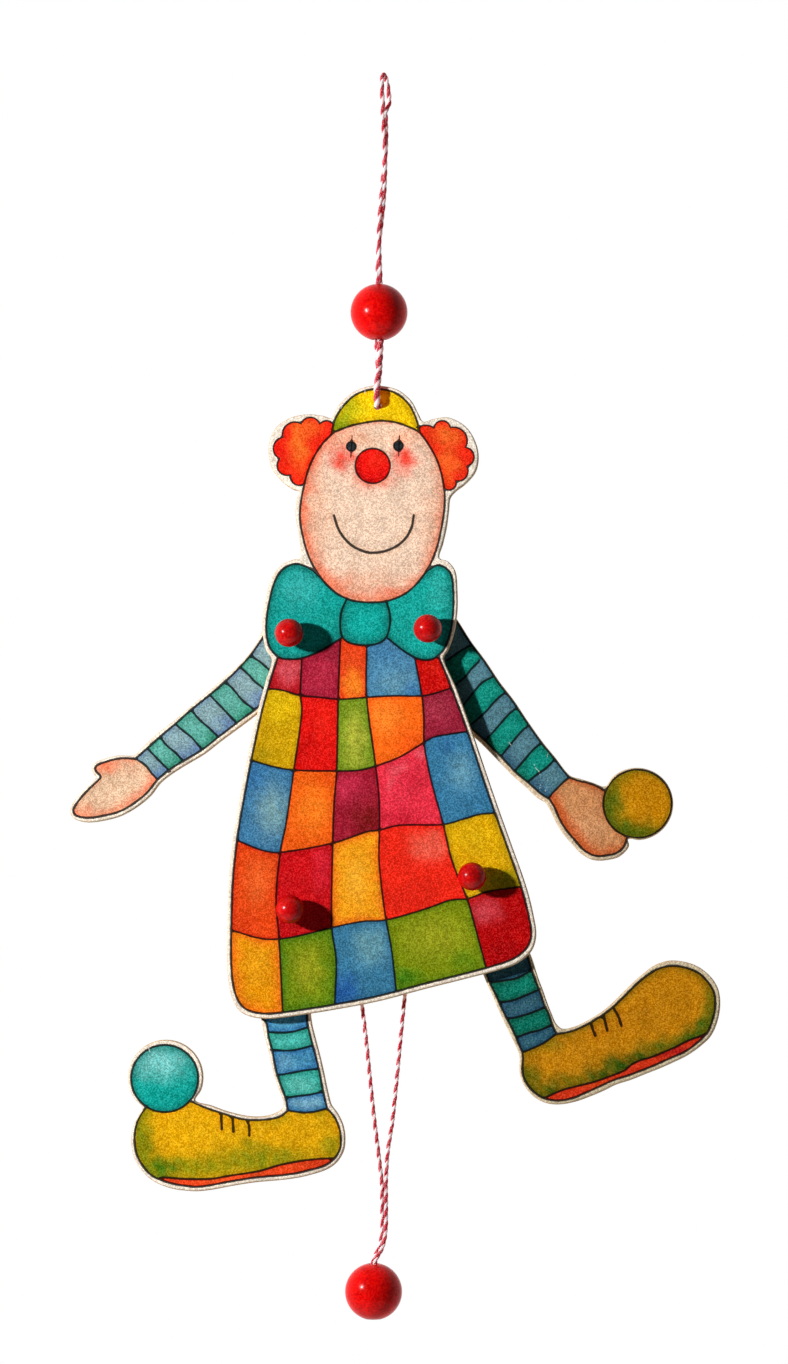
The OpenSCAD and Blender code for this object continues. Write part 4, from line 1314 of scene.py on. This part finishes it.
@dataclass(frozen=True)
class PrintedBoard:
    """A plywood board cut round its printed picture, with softened edges, in millimetres.

    Attributes:
        node: CAD node that the board stands for.
        body: Body that it rides on.
        slot: Name of its material slot; not used.
        origin: Point of the figure's grid that the drawing starts from.
        drawing: The printed picture.
        soft_front: Radius of the printed face's edge.
        droop: How much further in that edge is rounded off on the lower right.
        soft_back: Radius of the back's edge.
        soft_hole: Radius of a hole's edges.
        hole_fill: How much of a narrow hole's radius the lacquer takes.
        rim: Width of the flat ring of faces inside a softened edge.
        printed_rings: Rings of faces, from the front, that the print reaches over.
        spacing: Distance of the mesh's points on the printed face.
    """

    node: str
    body: str
    slot: str
    origin: tuple[float, float]
    drawing: Drawing
    soft_front: float = 0.42
    droop: float = 0.6
    soft_back: float = 0.4
    soft_hole: float = 0.2
    hole_fill: float = 0.05
    rim: float = 0.12
    printed_rings: int = 3
    spacing: float = 1.1

    @property
    def corner(self) -> np.ndarray:
        """Where the drawing's own point lies in the frame."""
        return np.array([GRID_X + self.origin[0], GRID_Z + self.origin[1]])

    def cut_edges(self) -> list[np.ndarray]:
        """Closed edges of the CAD board's front.

        Returns:
            The edges on the drawing's grid, the longest first, with the wood on their left.
        """
        work = bmesh.new()
        work.from_mesh(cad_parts[self.node].data)
        bmesh.ops.remove_doubles(work, verts=work.verts, dist=1e-6)
        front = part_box(self.node)[0].y
        flat = [f for f in work.faces if all(abs(v.co.y - front) < 1e-6 for v in f.verts)]
        known = {f.index for f in flat}
        follow = {}
        for face in flat:
            for corner in face.loops:
                if sum(f.index in known for f in corner.edge.link_faces) == 1:
                    follow[corner.vert.index] = corner.link_loop_next.vert.index
        work.verts.ensure_lookup_table()
        edges = []
        while follow:
            chain = [next(iter(follow))]
            while (after := follow.pop(chain[-1])) != chain[0]:
                chain.append(after)
            places = np.array([work.verts[i].co for i in chain])[:, [0, 2]] / MM
            edges.append(places - self.corner)
        work.free()
        return sorted(edges, key=len, reverse=True)

    @staticmethod
    def inwards(edge: np.ndarray) -> np.ndarray:
        """How a closed edge moves into the wood on its left.

        Args:
            edge: Points of the edge, whose start isn't repeated.

        Returns:
            The step of each point that moves the edge by 1 mm.
        """
        along = np.roll(edge, -1, 0) - edge
        along /= np.linalg.norm(along, axis=1)[:, None]
        left = np.stack([-along[:, 1], along[:, 0]], 1)
        mean = left + np.roll(left, 1, 0)
        mean /= np.maximum(np.linalg.norm(mean, axis=1), 0.5)[:, None]
        return mean / np.maximum((mean * left).sum(1), 0.75)[:, None]

    def between_lines(self, edges: list[np.ndarray]) -> np.ndarray:
        """Points between pen lines that run too close together for the grid.

        Args:
            edges: The board's closed edges, the outer one first.

        Returns:
            The points as rows.
        """
        # A line is crowded where another lies this near to a point this far beside it
        crowded, looked_at = 1.4, 2.2
        # The points lie this many line widths beside it, and this far from the edges and each other
        beside, edge_gap, spacing = 0.62, 0.3, 0.35
        found = [np.zeros((0, 2))]
        for line, width in self.drawing.pen:
            along = np.gradient(line, axis=0)
            along /= np.maximum(np.linalg.norm(along, axis=1), 1e-9)[:, None]
            across = np.stack([-along[:, 1], along[:, 0]], 1)
            for side in (-1, 1):
                tight = self.drawing.pen_gap(line + side * looked_at * across)[0] < crowded
                middle = line + side * beside * width * across
                found.append(middle[tight & on_board(middle, edges, edge_gap)])
        kept = np.zeros((0, 2))
        for place in np.concatenate(found):
            if not len(kept) or np.hypot(*(kept - place).T).min() > spacing:
                kept = np.concatenate([kept, place[None]])
        return kept

    def fine_points(self, edges: list[np.ndarray]) -> np.ndarray:
        """Points that make the printed face fine enough to hold its colours.

        Args:
            edges: The board's closed edges, the outer one first.

        Returns:
            The points as rows, clear of every line.
        """
        edge_gap, pen_gap, scratch_gap = 0.45, 0.55, 0.4
        low, high = edges[0].min(0), edges[0].max(0)
        across, up = (np.arange(low[i], high[i], self.spacing) for i in (0, 1))
        grid = np.stack(np.meshgrid(across, up), 2)
        grid[1::2, :, 0] += self.spacing / 2
        grid = grid.reshape(-1, 2)
        grid = np.concatenate([grid[on_board(grid, edges, edge_gap)], self.between_lines(edges)])
        clear = self.drawing.pen_gap(grid)[0] > pen_gap
        return grid[clear & (self.drawing.scratch_gap(grid) > scratch_gap)]

    def cap(self, edges: list[np.ndarray], drawn: bool) -> tuple[list[list[float]], list[list[int]]]:
        """Flat mesh inside closed edges.

        Args:
            edges: The closed edges, the outer one first.
            drawn: Whether the mesh follows the drawing's lines and is fine enough to hold its colours.

        Returns:
            Its points on the drawing's grid and its triangles.
        """
        lines = [(edge, True) for edge in edges]
        followed = [line for line, _ in self.drawing.pen] + list(self.drawing.scratches)
        for line in followed if drawn else []:
            breaks = np.flatnonzero(~on_board(line, edges, 0.1))
            runs = np.split(line, np.sort(np.concatenate([breaks, breaks + 1])))
            lines += [(run, False) for run in runs if len(run) > 1]
        links, first = [], 0
        for line, is_edge in lines:
            count = len(line)
            links += [(first + i, first + (i + 1) % count) for i in range(count if is_edge else count - 1)]
            first += count
        points = [line for line, _ in lines]
        if drawn:
            points.append(self.fine_points(edges))
        given = [Vector(p) for p in np.concatenate(points)]
        made = geometry.delaunay_2d_cdt(given, links, [], 0, 1e-4, False)
        places, faces = np.array([list(v) for v in made[0]]), np.array(list(made[2]))
        return places.tolist(), faces[on_board(places[faces].mean(1), edges)].tolist()

    def rings(self, edge: np.ndarray, outer: bool, thickness: float) -> list[np.ndarray]:
        """Rings of points round an edge, from the front face to the back.

        Args:
            edge: The closed edge.
            outer: Whether it is the board's outline and not a hole.
            thickness: Thickness of the board.

        Returns:
            Rings of points whose third column is the depth.
        """
        inwards = self.inwards(edge)
        flat = np.zeros(len(edge))
        droop = flat
        if outer:
            droop = np.clip(-inwards @ LOWER_RIGHT, 0, 1)
            droop = self.droop * np.mean([np.roll(droop, i) for i in range(-3, 4)], axis=0)
        front, back = (self.soft_front, self.soft_back) if outer else (self.soft_hole, self.soft_hole)
        wide, deep = front + droop, front + 2 * droop
        quarter = [math.radians(a) for a in range(0, 91, 15)]
        sections = [(wide + self.rim, 0.0)]
        sections += [(wide * (1 - math.sin(a)), deep * (1 - math.cos(a))) for a in quarter]
        sections += [(back * (1 - math.sin(a)), thickness - back * (1 - math.cos(a))) for a in quarter[::-2]]
        sections.append((back + self.rim, thickness))
        return [np.column_stack([edge + (flat + inset)[:, None] * inwards, flat + depth])
                for inset, depth in sections]

    def mesh(self, materials: Sequence[bpy.types.Material]) -> bpy.types.Mesh:
        """The closed board in its place.

        Args:
            materials: Finish of the printed faces and of the bare ones.

        Returns:
            The mesh.
        """
        low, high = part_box(self.node)
        thickness = (high.y - low.y) / MM
        outline_step, narrow_hole = 0.7, 3.2
        parts, faces, bare, fronts, backs = [], [], [], [], []
        first = 0
        for number, edge in enumerate(self.cut_edges()):
            if number == 0:
                edge = smooth(edge, outline_step, closed=True)
            elif np.ptp(edge[:, 0]) < narrow_hole:
                edge = edge - self.hole_fill * self.inwards(edge)
            rings = self.rings(edge, number == 0, thickness)
            fronts.append(rings[0][:, :2])
            backs.append(rings[-1][:, :2])
            count = len(edge)
            for level in range(1, len(rings)):
                here = first + level * count
                quads = ((here + i, here + (i + 1) % count) for i in range(count))
                faces += [[a - count, a, b, b - count] for a, b in quads]
                bare += [int(level > self.printed_rings)] * count
            parts += rings
            first += count * len(rings)
        for edges, depth, drawn in ((fronts, 0.0, True), (backs, thickness, False)):
            places, triangles = self.cap(edges, drawn)
            parts.append(np.column_stack([places, np.full(len(places), depth)]))
            faces += [[first + i for i in triangle] for triangle in triangles]
            bare += [int(not drawn)] * len(triangles)
            first += len(places)
        u, v, depth = np.concatenate(parts).T
        points = np.stack([(self.corner[0] + u) * MM, low.y + depth * MM, (self.corner[1] + v) * MM], 1)
        mesh = bpy.data.meshes.new(self.node + "_board")
        mesh.from_pydata(points.tolist(), [], faces)
        mesh.polygons.foreach_set("material_index", bare)
        for material in materials:
            mesh.materials.append(material)
        self.close(mesh)
        return mesh

    def close(self, mesh: bpy.types.Mesh) -> None:
        """Joins the parts of the board's mesh, turns its faces outwards and smooths them.

        Args:
            mesh: The mesh, which is changed in place.
        """
        work = bmesh.new()
        work.from_mesh(mesh)
        bmesh.ops.remove_doubles(work, verts=work.verts, dist=WELD)
        bmesh.ops.dissolve_degenerate(work, edges=work.edges, dist=1e-7)
        bmesh.ops.recalc_face_normals(work, faces=work.faces)
        for face in work.faces:
            face.smooth = True
        open_edges = sum(not edge.is_manifold for edge in work.edges)
        if open_edges:
            LOG.warning("%s: %d open edges", self.node, open_edges)
        work.to_mesh(mesh)
        work.free()

    def paint(self, mesh: bpy.types.Mesh) -> None:
        """Gives the board's mesh its colours and its distances to pen lines and scratches.

        Args:
            mesh: The mesh, which is changed in place.
        """
        places = np.empty(len(mesh.vertices) * 3, np.float32)
        mesh.vertices.foreach_get("co", places)
        places = places.reshape(-1, 3)[:, [0, 2]].astype(float) / MM - self.corner
        gap, way = self.drawing.pen_gap(places)
        furthest = 9
        for name, values in (("pen", gap), ("scratch", self.drawing.scratch_gap(places))):
            layer = mesh.attributes.new(name, "FLOAT", "POINT")
            layer.data.foreach_set("value", np.minimum(values, furthest).astype(np.float32))
        corner = np.empty(len(mesh.loops), np.int32)
        mesh.loops.foreach_get("vertex_index", corner)
        sizes = np.empty(len(mesh.polygons), np.int32)
        mesh.polygons.foreach_get("loop_total", sizes)
        owner = np.repeat(np.arange(len(sizes)), sizes)
        middles = np.stack([np.bincount(owner, places[corner, i]) / sizes for i in (0, 1)], 1)
        colours = self.drawing.colours(middles[owner], places[corner], gap[corner], way[corner])
        layer = mesh.attributes.new("wash", "FLOAT_COLOR", "CORNER")
        full = np.column_stack([colours, np.ones(len(colours))])
        layer.data.foreach_set("color", full.astype(np.float32).ravel())

    def build(self, *materials: bpy.types.Material) -> None:
        """Makes the board in its printed and its bare finish and hands it over."""
        mesh = self.mesh(materials)
        self.paint(mesh)
        settle(link_new(self.node + "_print", mesh), self.body, self.node)


class Lay(Enum):
    """Which way a turned piece's axis points."""

    UP = (0.0, 0.0, 0.0)
    BACK = (-math.pi / 2, 0.0, 0.0)


def bend(centre: tuple[float, float], radius: float, start: float, end: float,
         steps: int) -> list[list[float]]:
    """Points of a rounded corner or a ball in a profile.

    Args:
        centre: Its middle.
        radius: Its radius.
        start: Angle in degrees where it starts.
        end: Angle where it ends.
        steps: Number of straight runs.

    Returns:
        The points as pairs.
    """
    turns = (math.radians(start + (end - start) * i / steps) for i in range(steps + 1))
    return [[centre[0] + radius * math.cos(t), centre[1] + radius * math.sin(t)] for t in turns]


@dataclass(frozen=True)
class TurnedParts:
    """Pegs, spacers, discs and beads from the lathe, in millimetres.

    Attributes:
        ball: Diameter of a peg's ball.
        ball_y: Depth of the ball's middle.
        board_front: Depth of the body board's front, where a peg's neck ends.
        neck: Diameter under the ball.
        shank: Diameter of the shank.
        tail: Diameter of the tail in the disc.
        spacer: Outer and inner diameter of a spacer, and the depth of its front and back.
        disc: The same of a disc.
        bead: Diameter of a bead.
        bore: Diameter of a bead's bore.
        recess: Diameter and depth of the recess under a bead.
        beads: Place and body of each bead.
        tree: The lathe.
    """

    ball: float = 9.95
    ball_y: float = -7.8
    board_front: float = -2.0
    neck: float = 5.6
    shank: float = 4.0
    tail: float = 3.0
    spacer: tuple[float, float, float, float] = (9.0, 4.1, 2.0, 3.0)
    disc: tuple[float, float, float, float] = (12.0, 3.1, 7.6, 10.4)
    bead: float = 20.0
    bore: float = 3.88
    recess: tuple[float, float] = (5.5, 6.0)
    beads: dict[str, tuple[tuple[float, float, float], str]] = field(default_factory=lambda: {
        "hanging_bead": ((-1.4, 0, -84.1), "hanging_bead"), "pull_bead": ((-3.3, 0, -427.2), "pull")})
    tree: bpy.types.NodeTree = field(default_factory=lathe_tree)

    def peg_profile(self) -> list[list[float]]:
        """Ball, neck, shank and tail of a peg.

        Returns:
            Radius and depth of each point.
        """
        radius, neck, shank, tail = (d / 2 for d in (self.ball, self.neck, self.shank, self.tail))
        meet = math.degrees(math.asin(neck / radius))
        points = bend((0, self.ball_y), radius, -90, 90 - meet - 7, 22)
        under = self.ball_y + radius * math.cos(math.radians(meet)) + 0.75
        points += bend((neck + 0.7, under), 0.7, 215, 180, 3) + [[neck, self.board_front - 0.3]]
        points += bend((neck - 0.25, self.board_front - 0.25), 0.25, 0, 90, 3)
        points += [[shank, self.board_front], [shank, self.disc[2] - 0.2], [tail, self.disc[2]]]
        return points + bend((tail - 0.4, self.disc[3] - 0.4), 0.4, 0, 90, 4) + [[0, self.disc[3]]]

    @staticmethod
    def ring_profile(outer: float, inner: float, front: float, back: float,
                     soft: float) -> list[list[float]]:
        """A flat ring with soft edges.

        Args:
            outer: Its diameter.
            inner: Diameter of its hole.
            front: Depth of its front.
            back: Depth of its back.
            soft: Radius of its outer edges.

        Returns:
            Radius and depth of each point.
        """
        big, small, chamfer = outer / 2 - soft, inner / 2, 0.15
        corners = bend((big, front + soft), soft, -90, 0, 4) + bend((big, back - soft), soft, 0, 90, 4)
        hole = [[small + chamfer, back], [small, back - chamfer], [small, front + chamfer],
                [small + chamfer, front]]
        return corners + hole + corners[:1]

    def bead_profile(self) -> list[list[float]]:
        """A ball with a bore, and with a recess under it.

        Returns:
            Radius and height of each point.
        """
        radius, bore, recess, mouth = self.bead / 2, self.bore / 2, self.recess[0] / 2, 0.35
        top, foot = (90 - math.degrees(math.asin((hole + mouth) / radius)) for hole in (bore, recess))
        ledge = self.recess[1] - radius
        points = [[bore, radius - 1.1], [bore + 0.03, radius - 0.55], [bore + 0.14, radius - 0.32]]
        points += bend((0, 0), radius, top, -foot, 40)
        points += [[recess + 0.14, 0.42 - radius], [recess + 0.03, 0.66 - radius], [recess, 1.2 - radius]]
        return points + [[recess, ledge - 0.3], [recess - 0.3, ledge], [bore, ledge + 0.1], points[0]]

    def turn(self, node: str, body: str, slot: str, profile: list[list[float]], centre: Sequence[float],
             lay: Lay, material: bpy.types.Material, sides: int) -> None:
        """Turns one piece and hands it over.

        Args:
            node: CAD node that it stands for.
            body: Body that it rides on.
            slot: Name of its material slot; not used.
            profile: Radius and height of each point.
            centre: Its place.
            lay: Which way its axis points.
            material: Its finish.
            sides: Faces round it.
        """
        points = np.array([[r, 0, h] for r, h in profile]) * MM
        turn = random.Random(node).uniform(0, math.tau / sides)
        piece = grow(node + "_turned", points, self.tree, {
            "Sides": sides, "Centre": [float(c) * MM for c in centre], "Lay": list(lay.value), "Turn": turn,
            "Material": material})
        piece.data.set_sharp_from_angle(angle=math.radians(42))
        settle(piece, body, node)

    def build(self, finishes: Finishes) -> None:
        """Makes every turned piece.

        Args:
            finishes: The toy's finishes.
        """
        for limb, (u, v) in PIVOTS.items():
            joint = limb.replace("arm", "shoulder").replace("leg", "hip")
            for part, slot, profile, finish, sides in (
                    ("peg", "red_lacquer", self.peg_profile(), finishes.peg_lacquer, 48),
                    ("spacer", "bare_wood", self.ring_profile(*self.spacer, 0.2), finishes.beech, 48),
                    ("disc", "bare_wood", self.ring_profile(*self.disc, 0.5), finishes.beech, 64)):
                self.turn(f"{joint}_{part}", "figure", slot, profile, (GRID_X + u, 0, GRID_Z + v), Lay.BACK,
                          finish, sides)
        for node, (at, body) in self.beads.items():
            self.turn(node, body, "red_lacquer", self.bead_profile(), at, Lay.UP, finishes.lacquer, 80)


@dataclass(frozen=True)
class Twines:
    """All the twine of the toy and its knots, in millimetres.

    Attributes:
        hanging: Finish of all twine but the pull.
        pulled: Finish of the pull.
        thickness: Diameter of the twine; not used.
        wide: Its width across both plies, which round off to that diameter.
        pull_wide: The same of the pull, which is drawn thinner by its bead.
        hat_wide: The same of the slack twine through the hat.
        knot_twine: The same where it is pulled tight in a knot.
        strand_r: Distance of a doubled stretch's strands from its middle.
        lay: Length in which the two plies turn once round each other.
        pull_lay: The same of the pull, which is twisted tighter.
        link_y: Depth of the link cords' middle.
        small_knot: Width and height of a knot on a lever.
        big_knot: Width and height of a knot in a bead.
        lever: Length of a lever, and how many degrees it rises inwards at rest.
        open_gap: Gap between a pull cord and the lever's knot, where the linkage is opened.
        tree: The tree that lays the plies.
    """

    hanging: bpy.types.Material
    pulled: bpy.types.Material
    thickness: float = 1.5
    wide: float = 1.75
    pull_wide: float = 1.6
    hat_wide: float = 2.5
    knot_twine: float = 1.3
    strand_r: float = 0.7
    lay: float = 6.1
    pull_lay: float = 4.9
    link_y: float = 8.8
    small_knot: tuple[float, float] = (4.4, 2.4)
    big_knot: tuple[float, float] = (4.8, 3.2)
    lever: tuple[float, float] = (19.0, 27.5)
    open_gap: float = 0.6
    tree: bpy.types.NodeTree = field(default_factory=twine_tree)

    def strand(self, line: Sequence[Sequence[float]], turn: float, pitch: float,
               tight: float = 1.0) -> np.ndarray:
        """One strand of a doubled stretch.

        Args:
            line: Middle of the stretch.
            turn: Side that the strand is on at height 0, in degrees.
            pitch: Height in which the strands turn once round each other, below 0 for the other way.
            tight: Their distance as a share of the usual one.

        Returns:
            The strand's points.
        """
        points = smooth(line, 1.6)
        angle = np.radians(turn + 360 * points[:, 2] / pitch)
        return points + tight * self.strand_r * np.stack([np.cos(angle), np.sin(angle), 0 * angle], 1)

    def lever_hole(self, limb: str) -> np.ndarray:
        """Middle of the knot behind a lever.

        Args:
            limb: Name of the limb that has the lever.

        Returns:
            The point in the frame.
        """
        (u, v), side = PIVOTS[limb], 1 if limb.startswith("left") else -1
        length, lean = self.lever[0], math.radians(self.lever[1])
        return np.array([GRID_X + u + side * length * math.cos(lean), self.link_y,
                         GRID_Z + v + length * math.sin(lean)])

    def lay_out(self, name: str, path: np.ndarray, body: str, node: str,
                width: float) -> tuple[bpy.types.Object, np.ndarray]:
        """Lays twine along a path and hands it over.

        Args:
            name: Name of the piece.
            path: Its points.
            body: Body that it rides on.
            node: CAD node that it stands for.
            width: Width across both plies.

        Returns:
            The piece and the dense path in metres.
        """
        dense = smooth(path, 0.9) * MM
        lay, material = (self.pull_lay, self.pulled) if body == "pull" else (self.lay, self.hanging)
        piece = grow(name, dense, self.tree, {"Thickness": width * MM, "Lay": lay * MM, "Sides": 16,
                                              "Material": material})
        settle(piece, body, node)
        return piece, dense

    def knot_path(self, middle: Sequence[float], size: tuple[float, float], upright: bool) -> np.ndarray:
        """A tight overhand knot.

        Args:
            middle: Its middle.
            size: Its width over all, and its height along the twine.
            upright: Whether the twine runs up through it; otherwise it lies against a board behind it.

        Returns:
            The points of its twine.
        """
        t = np.radians(np.arange(8, 352, 8))
        wide, thick = (size[0] - self.knot_twine) / 6, (size[1] - self.knot_twine) / 2
        x, y = wide * (np.sin(t) + 2 * np.sin(2 * t)), wide * (np.cos(t) - 2 * np.cos(2 * t))
        z = -thick * np.sin(3 * t)
        return np.array(middle) + (np.stack([x, y, z], 1) if upright else np.stack([x, z, y], 1))

    def hang(self) -> None:
        """Makes the hanging loop with its knot, and the twine through the hat."""
        above = [[-1.4, 0, -88.7], [-1.4, 0, -74], [-1.4, 0, -60], [-.1, 0, -43], [.8, 0, -27], [.4, 0, -14]]
        eye = [[-.1, -2, -10.5], [-.4, -2.8, -6.5], [-.3, -2.4, -3.2], [0, -1.3, -1.2], [.3, 0, -.8],
               [.8, 1.4, -1.4], [1.4, 2.6, -3.6], [2, 2.8, -7], [2.1, 2.1, -10.8]]
        below = [[-1.4, 0, -91.3], [-1.4, 0, -104]]
        over_hat = [[-1.7, -2.4, -107], [-2.1, -4.1, -112], [-2.1, -4, -115.2], [-2, -3, -116.7],
                    [-1.9, -1.5, -117], [-1.9, 1.5, -117], [-2, 3, -116.7], [-2.1, 4, -115.2],
                    [-2.1, 4.1, -112], [-1.7, 2.4, -107]]
        knot, _ = self.lay_out("hanging_knot_twine", self.knot_path([-1.4, 0, -90], self.big_knot, True),
                               "figure", "hanging_knot", self.knot_twine)
        up, down = (self.strand(above, turn, pitch=-60, tight=0.65) for turn in (-270, -90))
        loop, path = self.lay_out("hanging_loop_twine", np.concatenate([up, eye, down[::-1]]), "figure",
                                  "hanging_cord", self.wide)
        up, down = (self.strand(below, turn, pitch=72) for turn in (70, 250))
        hat, path = self.lay_out("hat_twine", np.concatenate([up, over_hat, down[::-1]]), "figure",
                                 "hat_cord", self.hat_wide)

    def link(self, side: str) -> None:
        """Makes a link cord and the two knots that hold it.

        Args:
            side: Its side, left or right.
        """
        body = f"{side}_link"
        arm, leg = (self.lever_hole(f"{side}_{limb}") for limb in ("arm", "leg"))
        for limb, at in (("arm", arm), ("leg", leg)):
            tail = at + np.array([[0, -5.1, 0], [0, -3, 0], [0, -1.6, 0]])
            path = np.concatenate([tail, self.knot_path(at, self.small_knot, False)])
            self.lay_out(f"{side}_{limb}_knot_twine", path, body, f"{side}_{limb}_knot", self.knot_twine)
        way = (leg - arm) / np.linalg.norm(leg - arm)
        reach = self.small_knot[0] / 2 - 0.3
        line = np.array([arm + reach * way, (arm + leg) / 2, leg - reach * way])
        self.lay_out(f"{side}_link_twine", line, body, f"{side}_link_cord", self.wide)

    def pull(self) -> None:
        """Makes the two pull cords and the knot in the pull bead."""
        pair = [[.3, 3, -389.4], [.4, 2, -398], [.3, 1, -406], [-.7, .3, -411.6], [-3.1, 0, -416.6],
                [-3.3, 0, -424], [-3.3, 0, -431.5]]
        knot, _ = self.lay_out("pull_knot_twine", self.knot_path([-3.3, 0, -432.8], self.big_knot, True),
                               "pull", "pull_knot", self.knot_twine)
        for side, run, turn in (("left", [[-8, 6.2, -323], [-3.1, 4.6, -367], [-1.6, 3.8, -379]], 161),
                                ("right", [[7.9, 6.2, -322], [3.4, 4.6, -367], [1.6, 3.8, -379]], -19)):
            hole = self.lever_hole(f"{side}_leg")
            way = np.array(run[0]) - hole
            start = hole + (self.small_knot[0] / 2 + self.open_gap) * way / np.linalg.norm(way)
            path = np.concatenate([[start], run, self.strand(pair, turn, pitch=200)])
            twine, path = self.lay_out(f"{side}_pull_twine", path, "pull", f"{side}_pull_cord",
                                       self.pull_wide)

    def build(self) -> None:
        self.hang()
        self.link("left")
        self.link("right")
        self.pull()


@dataclass(frozen=True)
class Studio:
    """Camera, lamps, floor and surroundings.

    Attributes:
        aim: Point of the figure's front that the picture's middle shows, in millimetres.
        distance: Camera to the front of the body board, in metres.
        tall: Height that the picture shows there, in metres.
        key_at: The key lamp from the aim, in metres.
        key_power: Power of the key lamp in watts.
        key_size: Diameter of the key lamp in metres.
        ambient: Light that comes from the pale room behind the toy.
        floor_z: Height of the floor in metres.
    """

    aim: tuple[float, float, float] = (3.85, -2.0, -213.65)
    distance: float = 2.0
    tall: float = 0.4774
    key_at: tuple[float, float, float] = (-0.934, -0.72, 0.225)
    key_power: float = 21.2
    key_size: float = 0.085
    ambient: float = 1.15
    floor_z: float = -1.3

    def build(self) -> None:
        """Sets up the whole studio."""
        scene = bpy.context.scene
        scene.view_settings.view_transform = "Standard"
        aim = Vector(self.aim) * MM
        lens = bpy.data.cameras.new("camera")
        lens.lens = lens.sensor_width * self.distance / self.tall
        lens.clip_start, lens.clip_end = 0.01, 20.0
        camera = link_new("camera", lens)
        camera.location = aim + Vector((0, -self.distance, 0))
        camera.rotation_euler = (math.pi / 2, 0, 0)
        scene.camera = camera
        lamp = bpy.data.lights.new("key_lamp", "AREA")
        lamp.shape, lamp.size, lamp.energy = "DISK", self.key_size, self.key_power
        key = link_new("key_lamp", lamp)
        key.location = aim + Vector(self.key_at)
        key.rotation_euler = (-Vector(self.key_at)).to_track_quat("-Z", "Y").to_euler()
        self.surroundings(scene)
        self.floor()

    def surroundings(self, scene: bpy.types.Scene) -> None:
        """White behind the object, and an even pale light on it.

        Args:
            scene: The scene that they surround.
        """
        world = bpy.data.worlds.new("studio")
        world.use_nodes = True
        world.node_tree.nodes.clear()
        tree = Tree(world.node_tree)
        way = tree.node("ShaderNodeTexCoord").outputs["Generated"]
        behind = tree.node("ShaderNodeSeparateXYZ", {0: way}).outputs[1]
        seen = self.seen(tree, tree.ease(behind, -0.7, 0.1, 0.3, 1.0))
        even = tree.ease(behind, -0.14, 0.25, 0.0, self.ambient)
        strength = tree.math("ADD", seen, tree.times(even, tree.math("SUBTRACT", 1.0, seen)))
        light = tree.made("ShaderNodeBackground", {"Color": (1, 1, 1, 1), "Strength": strength})
        tree.node("ShaderNodeOutputWorld", {"Surface": light})
        scene.world = world

    @staticmethod
    def seen(tree: Tree, gloss: Any = 1.0) -> Socket:
        """How far a ray sees the background itself, which only lights the rest.

        Args:
            tree: The tree that asks.
            gloss: Share of it that a gloss shows.

        Returns:
            1 where it is seen, the share in a gloss, and 0 elsewhere.
        """
        rays = tree.node("ShaderNodeLightPath").outputs
        straight = tree.math("MAXIMUM", rays["Is Camera Ray"], rays["Is Transmission Ray"])
        return tree.math("MAXIMUM", straight, tree.times(rays["Is Glossy Ray"], gloss))

    def floor(self) -> None:
        """A plain pale floor well below the hanging toy."""
        mesh = bpy.data.meshes.new("floor")
        half = 1.2
        corners = ((-half, -half), (half, -half), (half, half), (-half, half))
        mesh.from_pydata([(x, y, self.floor_z) for x, y in corners], [], [(0, 1, 2, 3)])
        material, tree = new_material("pale_floor")
        grit = tree.noise(tree.place(), 900, 2)
        colour = tree.mix(tree.ease(grit, 0.3, 0.7), opaque("e8e6e2"), opaque("f2f0ec"))
        shader = tree.made("ShaderNodeBsdfPrincipled", {
            "Base Color": colour, "Roughness": 0.9, "Specular IOR Level": 0.2,
            "Emission Color": (1, 1, 1, 1), "Emission Strength": tree.times(self.seen(tree), 0.6)})
        tree.node("ShaderNodeOutputMaterial", {"Surface": shader})
        mesh.materials.append(material)
        link_new("floor", mesh)


def main() -> None:
    """Builds the studio and the toy, piece by piece."""
    logging.basicConfig(level=logging.INFO, format="%(name)s: %(message)s")
    Studio().build()
    LOG.info("studio ready")
    finishes = Finishes.build()
    Twines(finishes.twine, finishes.pull_twine).build()
    TurnedParts().build(finishes)
    PrintedBoard("body_board", "figure", "printed_body", (0.0, 0.0), figure_drawing()).build(
        finishes.printed, finishes.body_ply)
    for limb, slot, drawing in (("left_arm", "printed_arms", left_arm_drawing()),
                                ("right_arm", "printed_arms", right_arm_drawing()),
                                ("left_leg", "printed_legs", left_leg_drawing()),
                                ("right_leg", "printed_legs", right_leg_drawing())):
        PrintedBoard(limb, limb, slot, PIVOTS[limb], drawing).build(finishes.printed, finishes.limb_ply)


if __name__ == "__main__":
    main()
